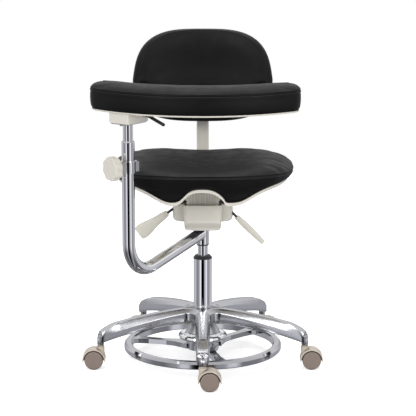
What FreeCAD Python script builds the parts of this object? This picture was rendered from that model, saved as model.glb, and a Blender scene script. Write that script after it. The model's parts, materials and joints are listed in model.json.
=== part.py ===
import FreeCAD, Part
import math
import os
import re
import Sketcher

# A dental assistant's stool: five-arm star base on castors, gas lift worked by a foot ring,
# tilting seat and back, and a support pad on an arm that swings round the column.
# Millimetres and degrees. The origin is on the floor under the column, +Z is up, and a
# seated person faces -Y. Angles round the column are counted anticlockwise from +X.

DIMENSIONS = {
    # Star base
    "hub_radius": 50.0,
    "hub_bottom": 106.0,
    "hub_top": 149.0,
    "base_arm_reach": 294.5,
    "base_arm_end_top": 94.0,
    "base_arm_end_crease": 88.5,
    "base_arm_end_bottom": 70.0,
    "base_arm_root_half": 20.0,
    "base_arm_end_half": 17.0,
    "ridge_root_half": 8.5,
    "ridge_end_half": 13.0,
    "socket_foot": 65.5,
    "socket_top": 91.0,
    "casting_wall": 4.5,
    "web_radius": 24.0,
    # Castors
    "caster_circle": 286.0,
    "caster_trail": 18.0,
    "wheel_radius": 25.0,
    "wheel_inner_face": 5.5,
    "wheel_outer_face": 20.5,
    "axle_radius": 3.0,
    "hood_radius": 30.5,
    "hood_gap": 2.6,
    "stem_radius": 5.5,
    "sleeve_radius": 7.5,
    # Column and gas lift
    "column_radius": 25.0,
    "column_wall": 2.0,
    "column_bottom": 96.0,
    "column_top": 281.0,
    "gas_radius": 14.0,
    "gas_bottom": 125.0,
    "gas_top": 396.0,
    "rod_radius": 7.0,
    "running_gap": 0.05,
    # Foot ring
    "ring_outer": 212.5,
    "ring_inner": 190.0,
    "ring_bottom": 31.0,
    "ring_top": 51.0,
    "dish_radius": 66.0,
    "guide_radius": 15.0,
    # Tilt mechanism
    "housing_half": 44.0,
    "housing_front": 58.0,
    "housing_back": 78.0,
    "housing_bottom": 376.0,
    "housing_top": 440.0,
    "cover_half": 81.0,
    "nose_back": 59.0,
    "nose_height": 72.0,
    "cover_wall": 3.0,
    "pin_radius": 5.0,
    "seat_pin_y": 30.0,
    "seat_pin_z": 430.0,
    "back_pin_y": 62.0,
    "back_pin_z": 415.0,
    # Seat
    "seat_half_width": 244.0,
    "seat_front": 210.0,
    "seat_back": 197.0,
    "seat_top": 553.0,
    "shell_thickness": 8.0,
    "board_bottom": 506.0,
    "board_thickness": 12.0,
    # Back
    "bar_half_width": 17.0,
    "bar_thickness": 14.0,
    "bar_front_y": 297.0,
    "bar_top": 792.0,
    "bar_bend_radius": 56.0,
    "back_curve_radius": 420.0,
    "back_curve_y": -180.0,
    "back_cushion_depth": 42.0,
    "back_shell_depth": 8.0,
    # Swing arm
    "arm_angle": -126.2,
    "arm_tube_radius": 16.5,
    "arm_tube_wall": 2.0,
    "arm_reach": 317.0,
    "arm_corner_z": 281.5,
    "arm_root_z": 347.0,
    "arm_bend_radius": 78.0,
    "arm_tube_top": 639.0,
    "collar_radius": 18.0,
    "collar_bottom": 321.0,
    "collar_top": 364.0,
    "post_radius": 12.75,
    "post_bottom": 470.0,
    "post_top": 714.0,
    "clamp_bottom": 561.0,
    "clamp_height": 30.0,
    "knob_radius": 31.0,
    "knob_angle": -15.8,
    # Support pad
    "pad_outer": 365.0,
    "pad_inner": 270.0,
    "pad_start": -138.0,
    "pad_end": -51.5,
    "pad_shell_bottom": 716.0,
    "pad_shell_top": 720.0,
    "pad_top": 786.0,
    "pad_housing_bottom": 690.0,
    "pad_housing_length": 84.0,
    "pad_housing_width": 62.0,
    "pad_housing_shift": 4.0,
}

doc = FreeCAD.newDocument("dental_stool")
sheet = doc.addObject("Spreadsheet::Sheet", "dims")
for row, (alias, amount) in enumerate(DIMENSIONS.items(), start=1):
    sheet.set("A%d" % row, alias)
    sheet.set("B%d" % row, str(amount))
    sheet.setAlias("B%d" % row, alias)
doc.recompute()

pieces = []


# ---------------------------------------------------------------- helpers

def size(alias):
    """A driving dimension, read from the sheet."""
    return float(getattr(sheet, alias))


def bound(text):
    """The expression with each alias in it pointed at the sheet."""
    def point_at_sheet(match):
        word = match.group()
        return "dims." + word if word in DIMENSIONS else word
    return re.sub(r"[a-z_]+", point_at_sheet, text)


def new_body(label):
    body = doc.addObject("PartDesign::Body", "Body")
    body.Label = label
    pieces.append(body)
    return body


def empty_sketch(body, role, offset):
    sketch = body.newObject("Sketcher::SketchObject", "Sketch")
    plane = next(item for item in body.Origin.OriginFeatures if item.Role == role)
    sketch.AttachmentSupport = [(plane, "")]
    sketch.MapMode = "FlatFace"
    sketch.setExpression("AttachmentOffset.Base.z", bound(offset))
    return sketch


def drive(sketch, kind, targets, expression, start):
    number = sketch.addConstraint(Sketcher.Constraint(kind, *targets, start))
    sketch.setExpression("Constraints[%d]" % number, bound(expression))


def outline(body, role, corners, offset="0"):
    """A closed outline whose every corner is driven by two expressions."""
    sketch = empty_sketch(body, role, offset)
    count = len(corners)
    turns = [2 * math.pi * k / count for k in range(count)]
    around = [(100 * math.cos(turn), 100 * math.sin(turn)) for turn in turns]
    for k in range(count):
        ends = [FreeCAD.Vector(*around[k], 0), FreeCAD.Vector(*around[(k + 1) % count], 0)]
        sketch.addGeometry(Part.LineSegment(*ends))
    for k in range(count):
        sketch.addConstraint(Sketcher.Constraint("Coincident", k, 2, (k + 1) % count, 1))
    for k, (across, up) in enumerate(corners):
        drive(sketch, "DistanceX", (-1, 1, k, 1), across, around[k][0])
        drive(sketch, "DistanceY", (-1, 1, k, 1), up, around[k][1])
    return sketch


def disc(body, role, radius, across="0", up="0", offset="0"):
    """A circle whose centre and radius are driven by expressions."""
    sketch = empty_sketch(body, role, offset)
    sketch.addGeometry(Part.Circle(FreeCAD.Vector(7, 5, 0), FreeCAD.Vector(0, 0, 1), 3))
    drive(sketch, "DistanceX", (-1, 1, 0, 3), across, 7.0)
    drive(sketch, "DistanceY", (-1, 1, 0, 3), up, 5.0)
    drive(sketch, "Radius", (0,), radius, 3.0)
    return sketch


def pad(body, sketch, length, symmetric=False):
    feature = body.newObject("PartDesign::Pad", "Pad")
    feature.Profile = sketch
    feature.setExpression("Length", bound(length))
    feature.Midplane = symmetric
    return feature


def pocket(body, sketch, depth, symmetric=False, along_normal=True):
    """Cuts the sketch out of the body and makes sure that something was cut."""
    doc.recompute()
    before = body.Shape.Volume
    feature = body.newObject("PartDesign::Pocket", "Pocket")
    feature.Profile = sketch
    feature.setExpression("Length", bound(depth))
    feature.Midplane = symmetric
    feature.Reversed = along_normal
    doc.recompute()
    if not body.Shape.Volume < before - 1:
        raise RuntimeError("a pocket in %s cut nothing" % body.Label)
    return feature


def loft(body, sections, subtract=False):
    kind = "PartDesign::SubtractiveLoft" if subtract else "PartDesign::AdditiveLoft"
    feature = body.newObject(kind, "Loft")
    feature.Profile = sections[0]
    feature.Sections = sections[1:]
    return feature


def repeat(body, features, count):
    """Repeats the features evenly round the body's Z axis."""
    doc.recompute()
    feature = body.newObject("PartDesign::PolarPattern", "Pattern")
    feature.Originals = features
    feature.Axis = (next(item for item in body.Origin.OriginFeatures if item.Role == "Z_Axis"), [""])
    feature.Angle = 360
    feature.Occurrences = count
    body.Tip = feature
    return feature


def soften(body, radius, wanted):
    """Rounds the edges of the body that the test picks out."""
    doc.recompute()
    base = body.Tip
    names = ["Edge%d" % (k + 1) for k, edge in enumerate(base.Shape.Edges) if wanted(edge)]
    if not names:
        raise RuntimeError("no edge to soften on %s" % body.Label)
    feature = body.newObject("PartDesign::Fillet", "Softened")
    feature.Base = (base, names)
    feature.setExpression("Radius", bound(radius))
    doc.recompute()
    return feature


def turned(label, profile):
    """A body of revolution round Z from a (radius, height) profile."""
    body = new_body(label)
    feature = body.newObject("PartDesign::Revolution", "Revolution")
    sketch = outline(body, "XZ_Plane", profile)
    feature.Profile = sketch
    feature.ReferenceAxis = (sketch, ["V_Axis"])
    feature.Angle = 360
    body.Tip = feature
    return body


def prism(label, role, corners, start, length):
    body = new_body(label)
    pad(body, outline(body, role, corners, start), length)
    return body


def rectangle(left, right, low, high):
    return [(left, low), (right, low), (right, high), (left, high)]


def bar_between(start, end, radius):
    """A solid round bar from one point to another."""
    way = end - start
    return Part.makeCylinder(radius, way.Length, start, way)


def shaped(label, shape):
    """A piece whose shape is made with Part's own functions."""
    piece = doc.addObject("Part::Feature", "Piece")
    piece.Label = label
    piece.Shape = shape
    pieces.append(piece)
    return piece


def set_place(piece, x=0.0, y=0.0, z=0.0, turn=0.0):
    """Moves a piece to a point, turned round the vertical."""
    piece.Placement = FreeCAD.Placement(
        FreeCAD.Vector(x, y, z), FreeCAD.Rotation(FreeCAD.Vector(0, 0, 1), turn))


def middle(edge):
    return edge.valueAt((edge.FirstParameter + edge.LastParameter) / 2)


def is_upright(edge):
    way = edge.valueAt(edge.LastParameter) - edge.valueAt(edge.FirstParameter)
    return abs(way.z) > 0.9 * way.Length > 0


# ---------------------------------------------------------------- star base

def make_star_base():
    """A five-arm casting: bevelled arms that drop and narrow outwards, hollow underneath."""
    body = turned("star_base", [
        ("column_radius", "hub_bottom"),
        ("hub_radius - 5", "hub_bottom"),
        ("hub_radius", "hub_bottom + 5"),
        ("hub_radius", "hub_top - 9"),
        ("hub_radius - 9", "hub_top"),
        ("column_radius", "hub_top"),
    ])

    between_arms = math.radians(36)
    cosine = "%.6f" % math.cos(between_arms)
    sine = "%.6f" % math.sin(between_arms)
    spread = "((base_arm_root_half - 0.8 + web_radius) / %s)" % sine
    rim = "sqrt(pow(%s * %s; 2) + pow(base_arm_root_half - 0.8; 2))" % (spread, cosine)
    web = pad(body, disc(body, "XY_Plane", rim, offset="hub_bottom + 3"), "hub_top - hub_bottom - 9")
    body.Tip = web
    scoop_disc = disc(
        body, "XY_Plane", "web_radius", spread + " * " + cosine, spread + " * " + sine, "hub_bottom")
    scoop = pocket(body, scoop_disc, "80")
    repeat(body, [scoop], 5)
    doc.recompute()

    knee = 0.80

    def top_at(share):
        """The crown, which runs out gently to a knee and then drops to the arm's end."""
        if share <= knee:
            drop = 0.46 * (share / knee) ** 1.9
        else:
            drop = 0.46 + 0.54 * ((share - knee) / (1 - knee)) ** 1.35
        return "(hub_top - 1 - (hub_top - 1 - base_arm_end_top) * %.4f)" % drop

    def crease_at(share):
        return "(hub_top - 9 - (hub_top - 9 - base_arm_end_crease) * %.4f)" % share ** 1.6

    def bottom_at(share):
        return "(hub_bottom + 6 - (hub_bottom + 6 - base_arm_end_bottom) * %.4f)" % share ** 2.2

    sections = []
    for share in (0.10, 0.30, 0.50, 0.68, 0.80, 0.90, 1.0):
        half = "(base_arm_root_half + (base_arm_end_half - base_arm_root_half) * %.3f)" % share ** 3
        widening = min(max(share - knee, 0.0) / 0.10, 1.0)
        ridge = "(ridge_root_half + (ridge_end_half - ridge_root_half) * %.4f)" % widening
        corners = [
            ("-" + half, bottom_at(share)),
            (half, bottom_at(share)),
            (half, crease_at(share)),
            (ridge, top_at(share)),
            ("-" + ridge, top_at(share)),
            ("-" + half, crease_at(share)),
        ]
        sections.append(outline(body, "YZ_Plane", corners, "base_arm_reach * %.2f" % share))
    arm = loft(body, sections)
    doc.recompute()

    hollows = []
    for share in (0.22, 0.42, 0.64, 0.84):
        half = "(base_arm_end_half - casting_wall)"
        corners = rectangle("-" + half, half, bottom_at(share) + " - 12", bottom_at(share) + " + 14")
        hollows.append(outline(body, "YZ_Plane", corners, "base_arm_reach * %.2f" % share))
    hollow = loft(body, hollows, subtract=True)
    doc.recompute()

    boss_disc = disc(body, "XY_Plane", "sleeve_radius + 1.6", "caster_circle", "0", "socket_foot")
    boss = pad(body, boss_disc, "socket_top - socket_foot - 6")
    body.Tip = boss
    socket_disc = disc(body, "XY_Plane", "sleeve_radius", "caster_circle", "0", "socket_foot - 1")
    socket = pocket(body, socket_disc, "socket_top - socket_foot + 1")
    repeat(body, [arm, hollow, boss, socket], 5)
    pocket(body, disc(body, "XY_Plane", "column_radius", offset="hub_bottom - 5"), "80")
    set_place(body, turn=-18)
    return body


def make_column():
    """The fixed tube of the lift, closed at its foot, and the black bush in its mouth."""
    turned("column_tube", [
        ("5", "column_bottom"),
        ("column_radius", "column_bottom"),
        ("column_radius", "column_top"),
        ("column_radius - column_wall", "column_top"),
        ("column_radius - column_wall", "column_bottom + 5"),
        ("5", "column_bottom + 5"),
    ])
    turned("column_bush", [
        ("gas_radius + running_gap", "column_top - 26"),
        ("column_radius - column_wall", "column_top - 26"),
        ("column_radius - column_wall", "column_top"),
        ("column_radius + 0.3", "column_top"),
        ("column_radius + 0.3", "column_top + 3"),
        ("column_radius - 5", "column_top + 9"),
        ("gas_radius + running_gap", "column_top + 9"),
    ])


def make_lift():
    """The rod that turns on the column's foot, and the gas cylinder that rises along it."""
    turned("piston_rod", [
        ("4.15", "column_bottom + 5"),
        ("10", "column_bottom + 5"),
        ("10", "column_bottom + 8"),
        ("rod_radius", "column_bottom + 8"),
        ("rod_radius", "column_bottom + 186"),
        ("gas_radius - 1.6", "column_bottom + 186"),
        ("gas_radius - 1.6", "column_bottom + 194"),
        ("0", "column_bottom + 194"),
        ("0", "column_bottom + 22"),
        ("4.15", "column_bottom + 22"),
    ])
    turned("gas_cylinder", [
        ("rod_radius + running_gap", "gas_bottom"),
        ("gas_radius", "gas_bottom"),
        ("gas_radius", "gas_top"),
        ("0", "gas_top"),
        ("0", "gas_top - 8"),
        ("gas_radius - 1.5", "gas_top - 8"),
        ("gas_radius - 1.5", "gas_bottom + 8"),
        ("rod_radius + running_gap", "gas_bottom + 8"),
    ])


# ---------------------------------------------------------------- foot ring

def make_foot_ring():
    """A ring on three flared spokes that slides down a guide under the column when pressed."""
    body = turned("foot_ring", [
        ("ring_inner", "ring_bottom + 2"),
        ("ring_inner + 2", "ring_bottom"),
        ("ring_outer - 3", "ring_bottom"),
        ("ring_outer", "ring_bottom + 3"),
        ("ring_outer", "ring_top - 6"),
        ("ring_outer - 6", "ring_top"),
        ("ring_inner + 4", "ring_top"),
        ("ring_inner", "ring_top - 4"),
    ])
    spoke = pad(body, outline(body, "XY_Plane", [
        ("ring_inner + 6", "-24"),
        ("ring_inner + 6", "24"),
        ("ring_inner - 12", "14"),
        ("ring_inner - 40", "10"),
        ("100", "10"),
        ("76", "14"),
        ("54", "24"),
        ("36", "34"),
        ("36", "-34"),
        ("54", "-24"),
        ("76", "-14"),
        ("100", "-10"),
        ("ring_inner - 40", "-10"),
        ("ring_inner - 12", "-14"),
    ], "ring_bottom + 3"), "13")
    repeat(body, [spoke], 3)
    doc.recompute()
    hub = pad(body, disc(body, "XY_Plane", "44", offset="ring_bottom + 1"), "17")
    body.Tip = hub
    pocket(body, disc(body, "XY_Plane", "28", offset="ring_bottom"), "30")
    set_place(body, turn=45)

    turned("ring_hub", [
        ("4", "26"),
        ("28", "26"),
        ("28", "49"),
        ("40", "49"),
        ("40", "59"),
        ("guide_radius + running_gap", "59"),
        ("guide_radius + running_gap", "52"),
        ("24", "52"),
        ("24", "30"),
        ("4", "30"),
    ])
    turned("ring_dish", [
        ("20", "59"),
        ("dish_radius - 12", "59"),
        ("dish_radius - 3", "62"),
        ("dish_radius", "67"),
        ("dish_radius - 2", "72"),
        ("dish_radius - 8", "74"),
        ("dish_radius - 15", "71"),
        ("dish_radius - 18", "64"),
        ("20", "64"),
    ])
    turned("release_rod", [
        ("0", "26"),
        ("4", "26"),
        ("4", "116"),
        ("0", "116"),
    ])
    turned("ring_guide", [
        ("11", "32"),
        ("22", "32"),
        ("22", "35"),
        ("guide_radius", "35"),
        ("guide_radius", "77"),
        ("44", "77"),
        ("46", "80"),
        ("30", "105.5"),
        ("column_radius", "105.5"),
        ("column_radius", "column_bottom"),
        ("11", "column_bottom"),
    ])
    rises = 8
    low, high, half_sheet = 35.6, 51.4, 0.5
    edges = [("15.6" if k % 2 else "22.6", low + (high - low) * k / rises) for k in range(rises + 1)]
    lower = [(radius, "%.3f" % (z - half_sheet)) for radius, z in edges]
    upper = [(radius, "%.3f" % (z + half_sheet)) for radius, z in reversed(edges)]
    turned("ring_spring", lower + upper)


# ---------------------------------------------------------------- castors

CASTERS = {
    "front": (-90.0, 0.0),
    "left": (-162.0, 180.0),
    "right": (-18.0, 0.0),
    "rear_left": (126.0, 180.0),
    "rear_right": (54.0, 0.0),
}


def make_caster(place, arm_turn, trail_turn):
    """A twin-wheel castor under one arm of the base, with its wheels trailing one way."""
    trail = size("caster_trail")
    axle_z = size("wheel_radius")
    inner = size("wheel_inner_face")
    outer = size("wheel_outer_face")
    axle_half = outer - 3
    stem_foot = FreeCAD.Vector(0, 0, 46)
    along_y = FreeCAD.Vector(0, 1, 0)

    def barrel(radius, from_y, to_y):
        return Part.makeCylinder(radius, to_y - from_y, FreeCAD.Vector(trail, from_y, axle_z), along_y)

    stem = Part.makeCylinder(size("stem_radius"), 44, stem_foot)
    axle = barrel(size("axle_radius"), -axle_half, axle_half)
    stem_piece = shaped("caster_stem_" + place, Part.makeCompound([stem, axle]))

    hood = barrel(size("hood_radius"), 1 - outer, outer - 1)
    hood = hood.cut(Part.makeBox(90, 90, 40, FreeCAD.Vector(-40, -45, -18)))
    hood = hood.fuse(Part.makeCylinder(10.5, 33, FreeCAD.Vector(0, 0, 28)))
    hood = hood.fuse(Part.makeCylinder(8.5, 3, FreeCAD.Vector(0, 0, 61)))
    hood = hood.fuse(barrel(9, 1 - inner, inner - 1))
    room_radius = size("wheel_radius") + size("hood_gap")
    hood = hood.cut(barrel(room_radius, inner - 1, outer + 1))
    hood = hood.cut(barrel(room_radius, -outer - 1, 1 - inner))
    hood = hood.cut(Part.makeCylinder(size("stem_radius"), 60, stem_foot))
    hood = hood.cut(barrel(size("axle_radius"), -10, 10))
    hood_piece = shaped("caster_hood_" + place, hood.removeSplitter())

    room_half = axle_half + 0.1
    axle_room = barrel(size("axle_radius") + size("running_gap"), -room_half, room_half)
    wheels = []
    for side in (1, -1):
        near, far = sorted((side * inner, side * outer))
        wheel = barrel(size("wheel_radius"), near, far)
        rims = [e for e in wheel.Edges if abs(abs(e.BoundBox.Center.y) - outer) < 0.01 and e.isClosed()]
        wheels.append(wheel.makeFillet(3.5, rims).cut(axle_room))
    wheel_piece = shaped("caster_wheels_" + place, Part.makeCompound(wheels))

    x = size("caster_circle") * math.cos(math.radians(arm_turn))
    y = size("caster_circle") * math.sin(math.radians(arm_turn))
    for piece in (stem_piece, hood_piece, wheel_piece):
        set_place(piece, x, y, 0, trail_turn)


def make_sleeves():
    """Steel sleeves pressed into the arm ends, which hold the castor stems."""
    sleeves = []
    for arm_turn, _ in CASTERS.values():
        x = size("caster_circle") * math.cos(math.radians(arm_turn))
        y = size("caster_circle") * math.sin(math.radians(arm_turn))
        foot = FreeCAD.Vector(x, y, 66.5)
        sleeve = Part.makeCylinder(size("sleeve_radius"), 24.5, foot)
        sleeves.append(sleeve.cut(Part.makeCylinder(size("stem_radius") + size("running_gap"), 24.5, foot)))
    shaped("caster_sleeves", Part.makeCompound(sleeves))


# ---------------------------------------------------------------- mechanism

def make_mechanism():
    """The steel tilt housing on top of the lift, its pins, and the covers round it."""
    body = prism("tilt_housing", "XY_Plane", rectangle(
        "-housing_half", "housing_half", "-housing_front", "housing_back"), "housing_bottom",
        "housing_top - housing_bottom")
    pocket(body, outline(body, "XY_Plane", rectangle(
        "-housing_half + 4", "housing_half - 4", "-housing_front + 4", "housing_back - 4"),
        "housing_bottom + 4"), "housing_top")
    boss_disc = disc(body, "XY_Plane", "gas_radius + 9", offset="housing_bottom")
    boss = pad(body, boss_disc, "gas_top - housing_bottom - 2")
    body.Tip = boss
    pocket(body, disc(body, "XY_Plane", "gas_radius", offset="housing_bottom - 2"), "60")
    for y, z in (("seat_pin_y", "seat_pin_z"), ("back_pin_y", "back_pin_z")):
        pocket(body, disc(body, "YZ_Plane", "pin_radius", y, z), "200", symmetric=True)
    pocket(body, outline(body, "YZ_Plane", rectangle(
        "housing_back - 6", "housing_back + 6", "back_pin_z - 18", "housing_top + 2")),
        "2 * bar_half_width + 8", symmetric=True)

    half = size("housing_half")
    pins = [
        bar_between(FreeCAD.Vector(-half, y, z), FreeCAD.Vector(half, y, z), size("pin_radius"))
        for y, z in ((size("seat_pin_y"), size("seat_pin_z")), (size("back_pin_y"), size("back_pin_z")))
    ]
    shaped("pivot_pins", Part.makeCompound(pins))

    gas = size("gas_radius")
    thrust_ring = (27.0, size("collar_top") + 1.5, 5.0)
    support_ring = (16.6, size("collar_bottom") - 3.5, 3.0)
    rings = []
    for radius, low, thickness in (thrust_ring, support_ring):
        ring = Part.makeCylinder(radius, thickness, FreeCAD.Vector(0, 0, low))
        rings.append(ring.cut(Part.makeCylinder(gas, thickness, FreeCAD.Vector(0, 0, low))))
    shaped("arm_rings", Part.makeCompound(rings))

    make_front_cover()
    make_body_cover()


def make_front_cover():
    """A moulded nose with a bowed front that widens upwards, open at the back and top."""
    body = new_body("front_cover")
    wall = 3.0

    def section(share, inset, back, rise):
        """The nose's outline at a share of its height, drawn in by an inset."""
        half = 47.0 + 5.0 * share ** 0.5 - inset
        front = 90.0 + 9.0 * share ** 0.5 - inset
        right = [(half, back), (half, inset / 3 + 12 - front), (half - 10, 2.5 - front), (half - 30, -front)]
        left = [(-x, y) for x, y in reversed(right)]
        corners = [("%.2f" % x, "%.2f" % y) for x, y in left[::-1] + right[::-1]]
        height = "(housing_bottom - 2 + %.2f + (nose_height + %.2f) * %.2f)" % (inset, rise, share)
        return outline(body, "XY_Plane", corners, height)

    shares = (0.0, 0.35, 1.0)
    loft(body, [section(share, 0.0, -size("nose_back"), 0.0) for share in shares])
    doc.recompute()
    past_back = 9.0 - size("nose_back")
    loft(body, [section(share, wall, past_back, 2.0) for share in shares], subtract=True)


def make_body_cover():
    """A skirt with two side bulges round the housing, open on top, notched for the levers."""
    body = prism("body_cover", "XY_Plane", [
        ("-cover_half", "-48"), ("-cover_half + 8", "-56"),
        ("cover_half - 8", "-56"), ("cover_half", "-48"),
        ("cover_half", "72"), ("cover_half - 12", "84"), ("-cover_half + 12", "84"), ("-cover_half", "72"),
    ], "390", "50")
    soften(body, "9", lambda e: middle(e).z < 391)
    pocket(body, outline(body, "XY_Plane", rectangle(
        "-cover_half + cover_wall", "cover_half - cover_wall", "-53", "81"), "399"), "60")
    pocket(body, outline(body, "XY_Plane", rectangle(
        "-housing_half - 0.2", "housing_half + 0.2", "-60", "housing_back + 0.5"), "380"), "80")
    pocket(body, outline(body, "XZ_Plane", rectangle(
        "-bar_half_width - 3", "bar_half_width + 3", "back_pin_z - 18", "450"), "-100"), "50")
    pocket(body, outline(body, "XZ_Plane", rectangle("-100", "100", "401", "450"), "23"), "14")
    return body


# ---------------------------------------------------------------- seat

def half_outline(points):
    """The points and their mirror images in the YZ plane, in order round a closed curve."""
    mirrored = [(-x, y) for x, y in reversed(points) if x > 0]
    return points + mirrored


def smooth_face(points, lift=0.0, flat=True):
    """A face inside one smooth closed curve, level at a height or upright in the XZ plane."""
    curve = Part.BSplineCurve()
    vectors = [FreeCAD.Vector(a, b, lift) if flat else FreeCAD.Vector(a, lift, b) for a, b in points]
    curve.interpolate(vectors, PeriodicFlag=True)
    return Part.Face(Part.Wire(curve.toShape()))


def seat_plan(inset):
    """The seat's outline seen from above, drawn in by an inset."""
    w = size("seat_half_width") - inset
    f = -size("seat_front") + inset
    b = size("seat_back") - inset
    return half_outline([
        (0.0, f), (0.42 * w, 0.955 * f), (0.75 * w, 0.74 * f), (0.95 * w, 0.34 * f), (w, 0.0),
        (0.95 * w, 0.45 * b), (0.76 * w, 0.80 * b), (0.42 * w, 0.97 * b), (0.0, b)])


RIM_LOW = 469.0
RIM_SIDE = [(78, RIM_LOW), (100, 472.5), (133, 488), (169, 501), (205, 507), (250, 512)]
RIM_ARCH = [(0, 504.5), (34, 497.5), (56, 477), (78, RIM_LOW)]
STEP_Y = -80.0
BEYOND_SEAT = 260.0
LEVEL = FreeCAD.Vector(1, 0, 0)
BOARD_INSET = 62.0
SCREW_PLACES = [(x, y) for x in (-62, 62) for y in (-45, 85)]
SCREW_RADIUS = 3.0


def smooth_run(points, start_direction, end_direction):
    """One smooth edge through points in the XZ plane, with a direction given at each end."""
    curve = Part.BSplineCurve()
    curve.interpolate(points, InitialTangent=start_direction, FinalTangent=end_direction)
    return curve.toShape()


def rim_edges(arched, drop):
    """The shell's upper line from left to right, lowered by a distance.

    The two sides are the same whether the middle rises into the arch or runs level.
    """
    side = [FreeCAD.Vector(x, 0, z - drop) for x, z in RIM_SIDE]
    mirrored_side = [FreeCAD.Vector(-p.x, 0, p.z) for p in reversed(side)]
    outward = side[-1] - side[-2]
    inward = mirrored_side[1] - mirrored_side[0]
    left = smooth_run(mirrored_side, inward, LEVEL)
    right = smooth_run(side, LEVEL, outward)
    if arched:
        half = [FreeCAD.Vector(x, 0, z - drop) for x, z in RIM_ARCH]
        mirrored_half = [FreeCAD.Vector(-p.x, 0, p.z) for p in reversed(half[1:])]
        centre = smooth_run(mirrored_half + half, LEVEL, LEVEL)
    else:
        centre = Part.LineSegment(mirrored_side[-1], side[0]).toShape()
    return [left, centre, right]


def rim_slab(upper, lower, from_y, to_y):
    """A slab between two lines that run from left to right, extruded from front to back."""
    starts = Part.LineSegment(lower[0].Vertexes[0].Point, upper[0].Vertexes[0].Point).toShape()
    ends = Part.LineSegment(lower[-1].Vertexes[-1].Point, upper[-1].Vertexes[-1].Point).toShape()
    face = Part.Face(Part.Wire(lower + [ends] + list(reversed(upper)) + [starts]))
    slab = face.extrude(FreeCAD.Vector(0, to_y - from_y, 0))
    slab.translate(FreeCAD.Vector(0, from_y, 0))
    return slab


def below_rim(arched, from_y, to_y):
    """The space from well under the seat up to the shell's upper line."""
    upper = rim_edges(arched, 0)
    ends = (upper[0].Vertexes[0].Point, upper[-1].Vertexes[-1].Point)
    corners = [FreeCAD.Vector(end.x, 0, 300) for end in ends]
    return rim_slab(upper, [Part.LineSegment(*corners).toShape()], from_y, to_y)


def make_seat():
    """Cushion on a moulded shell, whose front rim waves up into an arch over the mechanism."""
    thickness = size("shell_thickness")
    plan = smooth_face(seat_plan(18), 400).extrude(FreeCAD.Vector(0, 0, 200))
    wall_end = STEP_Y + thickness
    front = rim_slab(rim_edges(True, 0), rim_edges(True, thickness), -BEYOND_SEAT, STEP_Y)
    wall = rim_slab(rim_edges(True, 0), rim_edges(False, thickness), STEP_Y, wall_end)
    rear = rim_slab(rim_edges(False, 0), rim_edges(False, thickness), wall_end, BEYOND_SEAT)
    shell = front.fuse([wall, rear]).removeSplitter().common(plan).removeSplitter()
    shaped("seat_shell", shell)

    board_low = size("board_bottom")
    board_height = size("board_thickness")
    board = smooth_face(seat_plan(BOARD_INSET), board_low).extrude(FreeCAD.Vector(0, 0, board_height))
    shaped("seat_board", board)

    top = size("seat_top")
    cushion_low = 440.0
    cushion = smooth_face(seat_plan(2), cushion_low).extrude(FreeCAD.Vector(0, 0, top - cushion_low))
    cushion = cushion.makeFillet(16, [e for e in cushion.Edges if middle(e).z > top - 0.1])
    cushion = cushion.cut(below_rim(True, -BEYOND_SEAT, wall_end))
    cushion = cushion.cut(below_rim(False, wall_end, BEYOND_SEAT))
    room_low = 300.0
    room_height = board_low + board_height - room_low
    room = smooth_face(seat_plan(BOARD_INSET), room_low).extrude(FreeCAD.Vector(0, 0, room_height))
    shaped("seat_cushion", cushion.cut(room).removeSplitter())


def make_rib_panel():
    """A ribbed apron that closes the arch and dips into the nose below, clear of it when it tilts."""
    back_y = -82.0
    plate_y = -86.0
    rib_y = -91.0
    top = 493.0
    tongue_low = 436.0
    nose_clear = 456.0
    spacing = 14.5
    rib_width = 3.0
    panel = Part.makeBox(
        90, back_y - plate_y, top - nose_clear, FreeCAD.Vector(-45, plate_y, nose_clear))
    tongue = Part.makeBox(
        84, back_y - plate_y, nose_clear - tongue_low, FreeCAD.Vector(-42, plate_y, tongue_low))
    panel = panel.fuse(tongue)
    for k in range(-3, 4):
        low = nose_clear if abs(k) == 3 else tongue_low
        corner = FreeCAD.Vector(k * spacing - rib_width / 2, rib_y, low)
        panel = panel.fuse(Part.makeBox(rib_width, plate_y - rib_y, top - low, corner))
    ends = [FreeCAD.Vector(-250, 0, 380), FreeCAD.Vector(250, 0, 380)]
    under_arch = rim_slab(
        rim_edges(True, size("shell_thickness")), [Part.LineSegment(*ends).toShape()], -130, -50)
    shaped("rib_panel", panel.common(under_arch).removeSplitter())


def make_seat_plate():
    """The steel plate under the shell, with two eyes for the front pin."""
    plate_top = RIM_LOW - size("shell_thickness")
    plate_height = 5.0
    plate_low = plate_top - plate_height
    ear_thickness = 4.0
    ear_half = 13.0
    pin_y, pin_z = size("seat_pin_y"), size("seat_pin_z")
    housing_half = size("housing_half")
    plate = Part.makeBox(150, 160, plate_height, FreeCAD.Vector(-75, -60, plate_low))
    for low_x in (5 - housing_half, housing_half - 5 - ear_thickness):
        corner = FreeCAD.Vector(low_x, pin_y - ear_half, pin_z)
        plate = plate.fuse(Part.makeBox(ear_thickness, 2 * ear_half, plate_low - pin_z, corner))
        eye_centre = FreeCAD.Vector(low_x, pin_y, pin_z)
        plate = plate.fuse(Part.makeCylinder(ear_half, ear_thickness, eye_centre, LEVEL))
    bore_ends = [FreeCAD.Vector(x, pin_y, pin_z) for x in (-90, 90)]
    bore = bar_between(*bore_ends, size("pin_radius") + size("running_gap"))
    shaped("seat_plate", plate.cut(bore).removeSplitter())


def screw_shanks(low, length):
    """The four screws' shanks from one height up, side by side."""
    return [
        Part.makeCylinder(SCREW_RADIUS, length, FreeCAD.Vector(x, y, low)) for x, y in SCREW_PLACES]


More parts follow.
